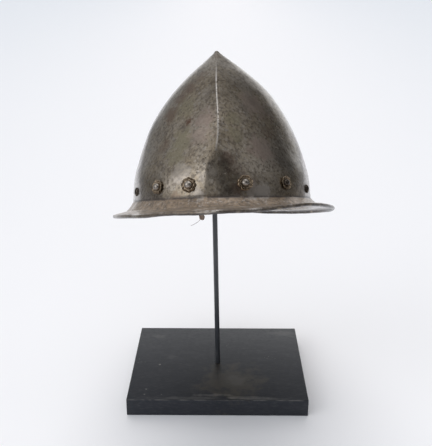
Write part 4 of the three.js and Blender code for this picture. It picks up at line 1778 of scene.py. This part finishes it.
@dataclass
class Rosettes:
    """Scalloped, cupped brass washers under the rivet heads."""

    diameter: float = 15.2
    hole: float = 4.0
    flat: float = 9.0
    notch: float = 1.0
    cup: float = 1.3
    thickness: float = 0.6
    gap: float = 0.3
    petals: int = 8
    bowl: float = 0.45
    bead: float = 0.35
    rings: int = 14
    corners: int = 14
    rim_place: float = 0.9
    rim_spread: float = 0.17
    bead_place: float = 0.12
    bead_spread: float = 0.12
    rough_depth: float = 0.00030
    rough_wave: float = 0.0045

    def build_one(self) -> bpy.types.Object:
        """Models one rosette: rings drawn out of a circle, shaped into petals and thickened.

        Returns:
            The rosette at the origin, facing +Z.
        """
        clear_selection()
        start = self.hole / 2 * MM
        end = self.diameter / 2 * MM
        bpy.ops.mesh.primitive_circle_add(vertices=self.petals * self.corners, radius=start)
        piece = bpy.context.object
        edit(piece)
        bpy.ops.mesh.select_all(action="SELECT")
        radius = start
        for ring in range(self.rings):
            wider = start + (end - start) * (ring + 1) / self.rings
            bpy.ops.mesh.extrude_region_move(TRANSFORM_OT_translate={"value": (0.0, 0.0, 0.0)})
            scale = wider / radius
            bpy.ops.transform.resize(value=(scale, scale, 1.0), center_override=(0.0, 0.0, 0.0))
            radius = wider
        bpy.ops.mesh.select_all(action="SELECT")
        bpy.ops.mesh.normals_make_consistent(inside=False)
        bpy.ops.object.mode_set(mode="OBJECT")
        points = read_points(piece)
        away = np.hypot(points[:, 0], points[:, 1])
        angle = np.arctan2(points[:, 1], points[:, 0])
        lobe = np.abs(np.cos(angle * self.petals / 2)) ** 0.6
        span = (self.diameter - self.flat) / 2
        out = np.clip((away / MM - self.flat / 2) / span, 0.0, 1.0)
        pull = self.notch * MM * (1 - lobe) * out
        shrink = 1 - pull / np.maximum(away, 1e-9)
        points[:, 0] *= shrink
        points[:, 1] *= shrink
        rim = np.exp(-(((out - self.rim_place) / self.rim_spread) ** 2)) * lobe
        bead = np.exp(-(((out - self.bead_place) / self.bead_spread) ** 2))
        bead = bead * (0.5 + 0.5 * np.cos(angle * self.petals * 2))
        rise = self.cup * out**1.2 - self.bowl * np.sin(out * math.pi) * lobe
        points[:, 2] = (self.gap + rise + self.bead * (rim * 0.8 + bead)) * MM
        write_points(piece, points)
        if piece.data.polygons[0].normal.z < 0:
            piece.data.flip_normals()
        raised = np.clip(0.1 + rim + 0.7 * bead, 0.0, 1.0)
        mark(piece, "top", raised)
        apply_modifier(
            piece, "SOLIDIFY", thickness=self.thickness * MM, offset=1.0, use_even_offset=False
        )
        bpy.ops.object.shade_smooth_by_angle(angle=math.radians(50))
        return piece

    def build(self, seats: list[Matrix], helmet: Matrix) -> dict[int, bpy.types.Object]:
        """Sets a rosette under each rivet that has kept one.

        Args:
            seats: The rivets' seats in the helmet's frame.
            helmet: The helmet's place in millimetres.

        Returns:
            The rosettes by the number of their rivet.
        """
        master = self.build_one()
        pieces = {}
        for index, (row, seat) in enumerate(zip(RIVET_TABLE, seats)):
            if not row.rosette:
                continue
            piece = copy_of(master, f"finished_rosette_{index + 1:02d}")
            mark(piece, "polish", row.brass_polish)
            rough_up(piece, self.rough_depth, self.rough_wave, 5.1 * index + 1.9)
            piece.data.transform(Matrix.Diagonal((row.size, row.size, 1.0, 1.0)))
            piece.data.transform(Matrix.Rotation(0.37 * index, 4, "Z"))
            piece.data.transform(to_metres(helmet @ seat))
            pieces[index] = piece
        bpy.data.objects.remove(master)
        return pieces


def to_metres(matrix: Matrix) -> Matrix:
    """A matrix with its place in millimetres, for a mesh in metres."""
    result = matrix.copy()
    result.translation *= MM
    return result


@dataclass
class LiningScrap:
    """A torn strip of leather held by one rivet inside, with a loose fibre at its end."""

    length: float = 31.0
    width: float = 6.0
    leather: float = 1.5
    gap: float = 0.3
    sag: float = 0.4
    fibre: float = 0.35
    fibre_reach: tuple[float, float, float] = (-8.5, 0.0, -6.5)

    def build(self, form: HelmetForm, seat: Matrix, helmet: Matrix) -> bpy.types.Object:
        """Models the strip and its fibre.

        Args:
            form: The helmet's form.
            seat: Seat of the rivet that holds it.
            helmet: The helmet's place in millimetres.

        Returns:
            The finished scrap.
        """
        clear_selection()
        long_cuts, wide_cuts = 44, 10
        bpy.ops.mesh.primitive_grid_add(
            x_subdivisions=wide_cuts, y_subdivisions=long_cuts, size=1.0, calc_uvs=False
        )
        piece = bpy.context.object
        piece.name = "finished_lining_scrap"
        curves = table_curves(SCRAP_TABLE, SCRAP_COLUMNS)
        first, last = SCRAP_TABLE[0][0], SCRAP_TABLE[-1][0]
        inner_face = -form.steel - self.sag - self.gap
        points = read_points(piece)
        down = first + (points[:, 1] + 0.5) * (last - first)
        across = points[:, 0]
        sides = 4.2 * (across > 0)
        ragged = np.array([noise.noise(Vector((d * 9, side, 0.3))) for d, side in zip(down, sides)])
        width = self.width * curves["width"].at(down) * (1 + 0.25 * ragged)
        x = self.length * curves["aside"].at(down) + across * width
        torn = np.array([noise.noise(Vector((a * 7, 1.3, 2.1))) for a in across])
        y = -self.length * (down + 0.03 * torn * (down > 0.9))
        curl = 0.5 * np.sin(down * 9) * across
        z = inner_face - self.length * curves["inward"].at(down) - 0.25 - 0.3 * np.abs(curl)
        points = np.stack([x, y, z], axis=-1) * MM
        write_points(piece, points)
        if piece.data.polygons[0].normal.z < 0:
            piece.data.flip_normals()
        apply_modifier(piece, "SOLIDIFY", thickness=(self.leather - 0.5) * MM, offset=-1.0)
        rough_up(piece, 0.0003, 0.002, 3.3)
        piece.data.transform(to_metres(helmet @ seat))
        bpy.ops.object.shade_smooth_by_angle(angle=math.radians(50))
        tip = read_points(piece)
        tip = Vector(tip[tip[:, 2].argmin()])
        fibre = self.build_fibre(tip)
        make_active(piece)
        fibre.select_set(True)
        bpy.ops.object.join()
        return piece

    def build_fibre(self, start: Vector) -> bpy.types.Object:
        """Models the loose fibre as a thin tube.

        Args:
            start: Where it leaves the leather, in metres.

        Returns:
            The tube as a mesh.
        """
        curve = bpy.data.curves.new("fibre", "CURVE")
        curve.dimensions = "3D"
        curve.bevel_depth = self.fibre / 2 * MM
        curve.bevel_resolution = 2
        curve.use_fill_caps = True
        spline = curve.splines.new("POLY")
        steps = 12
        spline.points.add(steps)
        reach = Vector(self.fibre_reach) * MM
        for i in range(steps + 1):
            t = i / steps
            sag = -0.001 * math.sin(t * math.pi)
            sway = Vector((0.0006 * math.sin(t * 5), 0.0008 * math.sin(t * 4), sag))
            place = start + Vector((-0.001, 0.0, 0.001)) + reach * t + sway
            spline.points[i].co = (*place, 1.0)
        fibre = bpy.data.objects.new("fibre", curve)
        bpy.context.collection.objects.link(fibre)
        make_active(fibre)
        bpy.ops.object.convert(target="MESH")
        return bpy.context.object


@dataclass
class Stand:
    """Flat board with a leaning rod let into it."""

    width: float = 200.0
    depth: float = 165.0
    thickness: float = 20.0
    arris: float = 0.7
    rod_diameter: float = 5.6
    rod_length: float = 357.0
    tip_round: float = 0.98
    foot_arris: float = 0.4
    socket_depth: float = 12.0
    gap: float = 0.3

    def build_board(self, seating: Seating) -> bpy.types.Object:
        """Models the board with its softened edges and the rod's socket.

        Args:
            seating: Where the rod stands.

        Returns:
            The finished board.
        """
        clear_selection()
        bpy.ops.mesh.primitive_cube_add(size=1.0)
        board = bpy.context.object
        board.name = "finished_stand_base"
        edit(board, "EDGE")
        bpy.ops.mesh.select_all(action="SELECT")
        size = (self.width * MM, self.depth * MM, self.thickness * MM)
        bpy.ops.transform.resize(value=size, center_override=(0.0, 0.0, 0.0))
        bpy.ops.transform.translate(value=(0.0, 0.0, self.thickness / 2 * MM))
        bpy.ops.mesh.bevel(offset=self.arris * MM, segments=3, affect="EDGES")
        bpy.ops.object.mode_set(mode="OBJECT")
        foot = seating.rod_foot() * MM
        clear_selection()
        bpy.ops.mesh.primitive_cylinder_add(
            vertices=48,
            radius=(self.rod_diameter / 2 + self.gap) * MM,
            depth=2 * self.socket_depth * MM,
        )
        socket = bpy.context.object
        socket.data.transform(Matrix.Rotation(math.radians(-seating.rod_lean), 4, "Y"))
        socket.data.transform(Matrix.Translation(foot))
        apply_modifier(board, "BOOLEAN", operation="DIFFERENCE", object=socket, solver="EXACT")
        bpy.data.objects.remove(socket)
        make_active(board)
        bpy.ops.object.shade_smooth_by_angle(angle=math.radians(30))
        return board

    def build_rod(self, seating: Seating) -> bpy.types.Object:
        """Models the rod with its rounded upper end.

        Args:
            seating: Where the rod stands and how it leans.

        Returns:
            The finished rod.
        """
        clear_selection()
        bottom = self.gap - self.socket_depth
        length = self.rod_length - bottom
        radius = self.rod_diameter / 2 * MM
        bpy.ops.mesh.primitive_cylinder_add(vertices=32, radius=radius, depth=length * MM)
        rod = bpy.context.object
        rod.name = "finished_stand_rod"
        edit(rod, "EDGE")
        select_points(rod, lambda co: co.z > length / 2 * MM - 1e-6)
        bpy.ops.mesh.bevel(offset=radius * self.tip_round, segments=7, affect="EDGES")
        bpy.ops.mesh.select_all(action="DESELECT")
        select_points(rod, lambda co: co.z < -length / 2 * MM + 1e-6)
        bpy.ops.mesh.bevel(offset=self.foot_arris * MM, segments=2, affect="EDGES")
        bpy.ops.object.mode_set(mode="OBJECT")
        bpy.ops.object.shade_smooth_by_angle(angle=math.radians(40))
        rod.data.transform(Matrix.Translation((0.0, 0.0, (bottom + length / 2) * MM)))
        rod.data.transform(Matrix.Rotation(math.radians(-seating.rod_lean), 4, "Y"))
        rod.data.transform(Matrix.Translation(seating.rod_foot() * MM))
        return rod


# Studio


@dataclass(frozen=True)
class Glow:
    """A soft patch of light in the room, in degrees; azimuth 0 is the camera's side."""

    azimuth: float
    elevation: float
    spread: float
    light: float

    def direction(self) -> Vector:
        """Where it lies."""
        azimuth = math.radians(self.azimuth)
        elevation = math.radians(self.elevation)
        level = math.cos(elevation)
        return Vector((level * math.sin(azimuth), -level * math.cos(azimuth), math.sin(elevation)))


@dataclass(frozen=True)
class Sun:
    """A large soft light: its name, where it comes from, its angle in degrees and its strength."""

    name: str
    place: tuple[float, float, float]
    angle: float
    strength: float
    colour: tuple[float, float, float] = (1.0, 1.0, 1.0)

    def build(self) -> None:
        """Sets it up; the steel reflects the room's patches of light instead of it."""
        data = bpy.data.lights.new(self.name, "SUN")
        data.angle = math.radians(self.angle)
        data.energy = self.strength
        data.color = self.colour
        light = bpy.data.objects.new(self.name, data)
        light.rotation_euler = (-Vector(self.place)).to_track_quat("-Z", "Y").to_euler()
        light.location = Vector(self.place).normalized() * 2.0
        light.visible_glossy = False
        bpy.context.collection.objects.link(light)


@dataclass
class Studio:
    """Pale floor, large soft lights, a dim room with patches of light, and the photograph's camera."""

    floor_colour: Colour = (0.880, 0.874, 0.892, 1.0)
    floor_radius: float = 16.0
    floor_drop: float = 0.0002
    camera_place: tuple[float, float, float] = (0.00469, -0.7650, 0.4746)
    camera_pitch: float = 20.0
    camera_yaw: float = 0.518
    lens: float = 58.76
    sensor: float = 36.0
    suns: tuple[Sun, ...] = (
        Sun("key_light", (-0.10, 0.30, 1.0), 48.0, 0.70, (1.0, 0.985, 0.97)),
        Sun("back_light", (-0.10, 0.80, 1.0), 52.0, 0.60, (1.0, 0.985, 0.97)),
        Sun("fill_light", (-0.30, -0.85, 1.0), 80.0, 1.00, (0.84, 0.91, 1.0)),
    )
    room: float = 0.07
    glows: tuple[Glow, ...] = (
        Glow(0.0, 90.0, 34.0, 0.82),
        Glow(-62.0, 22.0, 30.0, 1.28),
        Glow(-95.0, 36.0, 32.0, 0.34),
        Glow(-140.0, 22.0, 34.0, 0.24),
        Glow(-25.0, 28.0, 32.0, 0.42),
        Glow(-172.0, 6.0, 24.0, 0.80),
        Glow(158.0, 6.0, 26.0, 0.95),
        Glow(85.0, 35.0, 34.0, 0.16),
        Glow(92.0, 62.0, 28.0, 0.26),
        Glow(-62.0, 47.0, 26.0, 0.22),
        Glow(40.0, 20.0, 26.0, 0.06),
        Glow(180.0, 44.0, 34.0, 0.42),
    )
    # Painted shade: the floor's colour far out to the sides.
    floor_painted_shade: Colour = (0.718, 0.745, 0.786, 1.0)
    horizon: Colour = (0.840, 0.868, 0.912, 1.0)
    # Distance to the side at which the painted shade is half-way.
    painted_shade_reach: float = 1.0
    sweep_half_width: float = 0.42
    sweep_widening: float = 0.45
    glow_core: float = 0.3
    # Colour that reflections see beside the sweep: painted dark surroundings.
    sweep_side: Colour = (0.220, 0.220, 0.225, 1.0)

    def build_floor(self) -> None:
        """Models the floor."""
        clear_selection()
        bpy.ops.mesh.primitive_circle_add(
            vertices=96,
            radius=self.floor_radius,
            fill_type="NGON",
            location=(0.0, 0.0, -self.floor_drop),
        )
        floor = bpy.context.object
        floor.name = "floor"
        material, sheet, shader = new_material("floor_pale", Roughness=1.0, Specular_IOR_Level=0.0)
        parts = sheet.add("ShaderNodeSeparateXYZ", {0: sheet.place()}).outputs
        # Glossy rays see the floor dark beside a pale sweep behind the helmet: painted dark surroundings
        # for the steel's reflections.
        behind = sheet.times(sheet.math("MAXIMUM", parts["Y"], 0.0), self.sweep_widening)
        aside = sheet.math("SUBTRACT", sheet.math("ABSOLUTE", parts["X"]), behind)
        width = self.sweep_half_width
        side = sheet.mix(sheet.step(aside, width, width * 2), self.floor_colour, self.sweep_side)
        # Painted shade: the floor darkens towards the sides.
        across = sheet.times(parts["X"], parts["X"])
        far = sheet.math("DIVIDE", across, sheet.math("ADD", across, self.painted_shade_reach**2))
        pale = sheet.mix(far, self.floor_colour, self.floor_painted_shade)
        rays = sheet.add("ShaderNodeLightPath").outputs
        colour = sheet.mix(rays["Is Glossy Ray"], pale, side)
        sheet.feed(shader.inputs["Base Color"], colour)
        floor.data.materials.append(material)

    def build_world(self) -> None:
        """Light from the room: dim all round, with soft patches."""
        world = bpy.data.worlds.new("studio")
        bpy.context.scene.world = world
        world.use_nodes = True
        sheet = NodeSheet(world.node_tree)
        direction = sheet.add("ShaderNodeTexCoord").outputs["Generated"]
        light = self.room
        for glow in self.glows:
            axis = {0: direction, 1: tuple(glow.direction())}
            towards = sheet.add("ShaderNodeVectorMath", axis, operation="DOT_PRODUCT")
            edge = math.cos(math.radians(glow.spread))
            core = math.cos(math.radians(glow.spread * self.glow_core))
            patch = sheet.step(towards.outputs["Value"], edge, core)
            light = sheet.math("ADD", sheet.times(patch, glow.light), light)
        seen = sheet.add("ShaderNodeLightPath").outputs["Is Camera Ray"]
        colour = sheet.mix(seen, light, self.horizon)
        background = world.node_tree.nodes["Background"]
        sheet.feed(background.inputs["Color"], colour)

    def build_camera(self) -> None:
        """Sets up the camera."""
        data = bpy.data.cameras.new("camera")
        data.lens = self.lens
        data.sensor_width = self.sensor
        data.clip_end = 60.0
        camera = bpy.data.objects.new("camera", data)
        camera.location = self.camera_place
        camera.rotation_euler = (
            math.radians(90 - self.camera_pitch),
            0.0,
            math.radians(self.camera_yaw),
        )
        bpy.context.collection.objects.link(camera)
        bpy.context.scene.camera = camera

    def build(self) -> None:
        """Sets up the whole studio."""
        self.build_floor()
        self.build_world()
        for sun in self.suns:
            sun.build()
        self.build_camera()
        bpy.context.scene.view_settings.view_transform = "Standard"


def main() -> None:
    """Builds the helmet, its stand and the studio."""
    logging.basicConfig(level=logging.INFO, format="%(message)s")
    Studio().build()
    effects = Effects()
    seating = Seating()
    form = HelmetForm()
    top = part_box("skull_and_brim")[1].z / MM
    helmet = seating.matrix(form.apex(), top)
    seats = [form.rivet_seat(row.azimuth, row.height) for row in RIVET_TABLE]

    shell = Shell(form, helmet, [seat.translation for seat in seats]).build()
    dress(shell, SteelFinish().material(effects), Slot.STEEL, "skull_and_brim")

    iron = IronFinish().material(effects)
    for index, piece in enumerate(LiningRivets().build(form, seats, helmet)):
        dress(piece, iron, Slot.IRON, f"rivet_{index + 1:02d}")

    brass = BrassFinish().material(effects)
    for index, piece in Rosettes().build(seats, helmet).items():
        dress(piece, brass, Slot.BRASS, f"rosette_{index + 1:02d}")

    scrap = LiningScrap().build(form, seats[LiningRivets.scrap_rivet], helmet)
    dress(scrap, LeatherFinish().material(effects), Slot.LEATHER, "lining_scrap")

    stand = Stand()
    dress(stand.build_board(seating), BoardFinish().material(effects), Slot.BOARD, "stand_base")
    dress(stand.build_rod(seating), RodFinish().material(effects), Slot.ROD, "stand_rod")


if __name__ == "__main__":
    main()
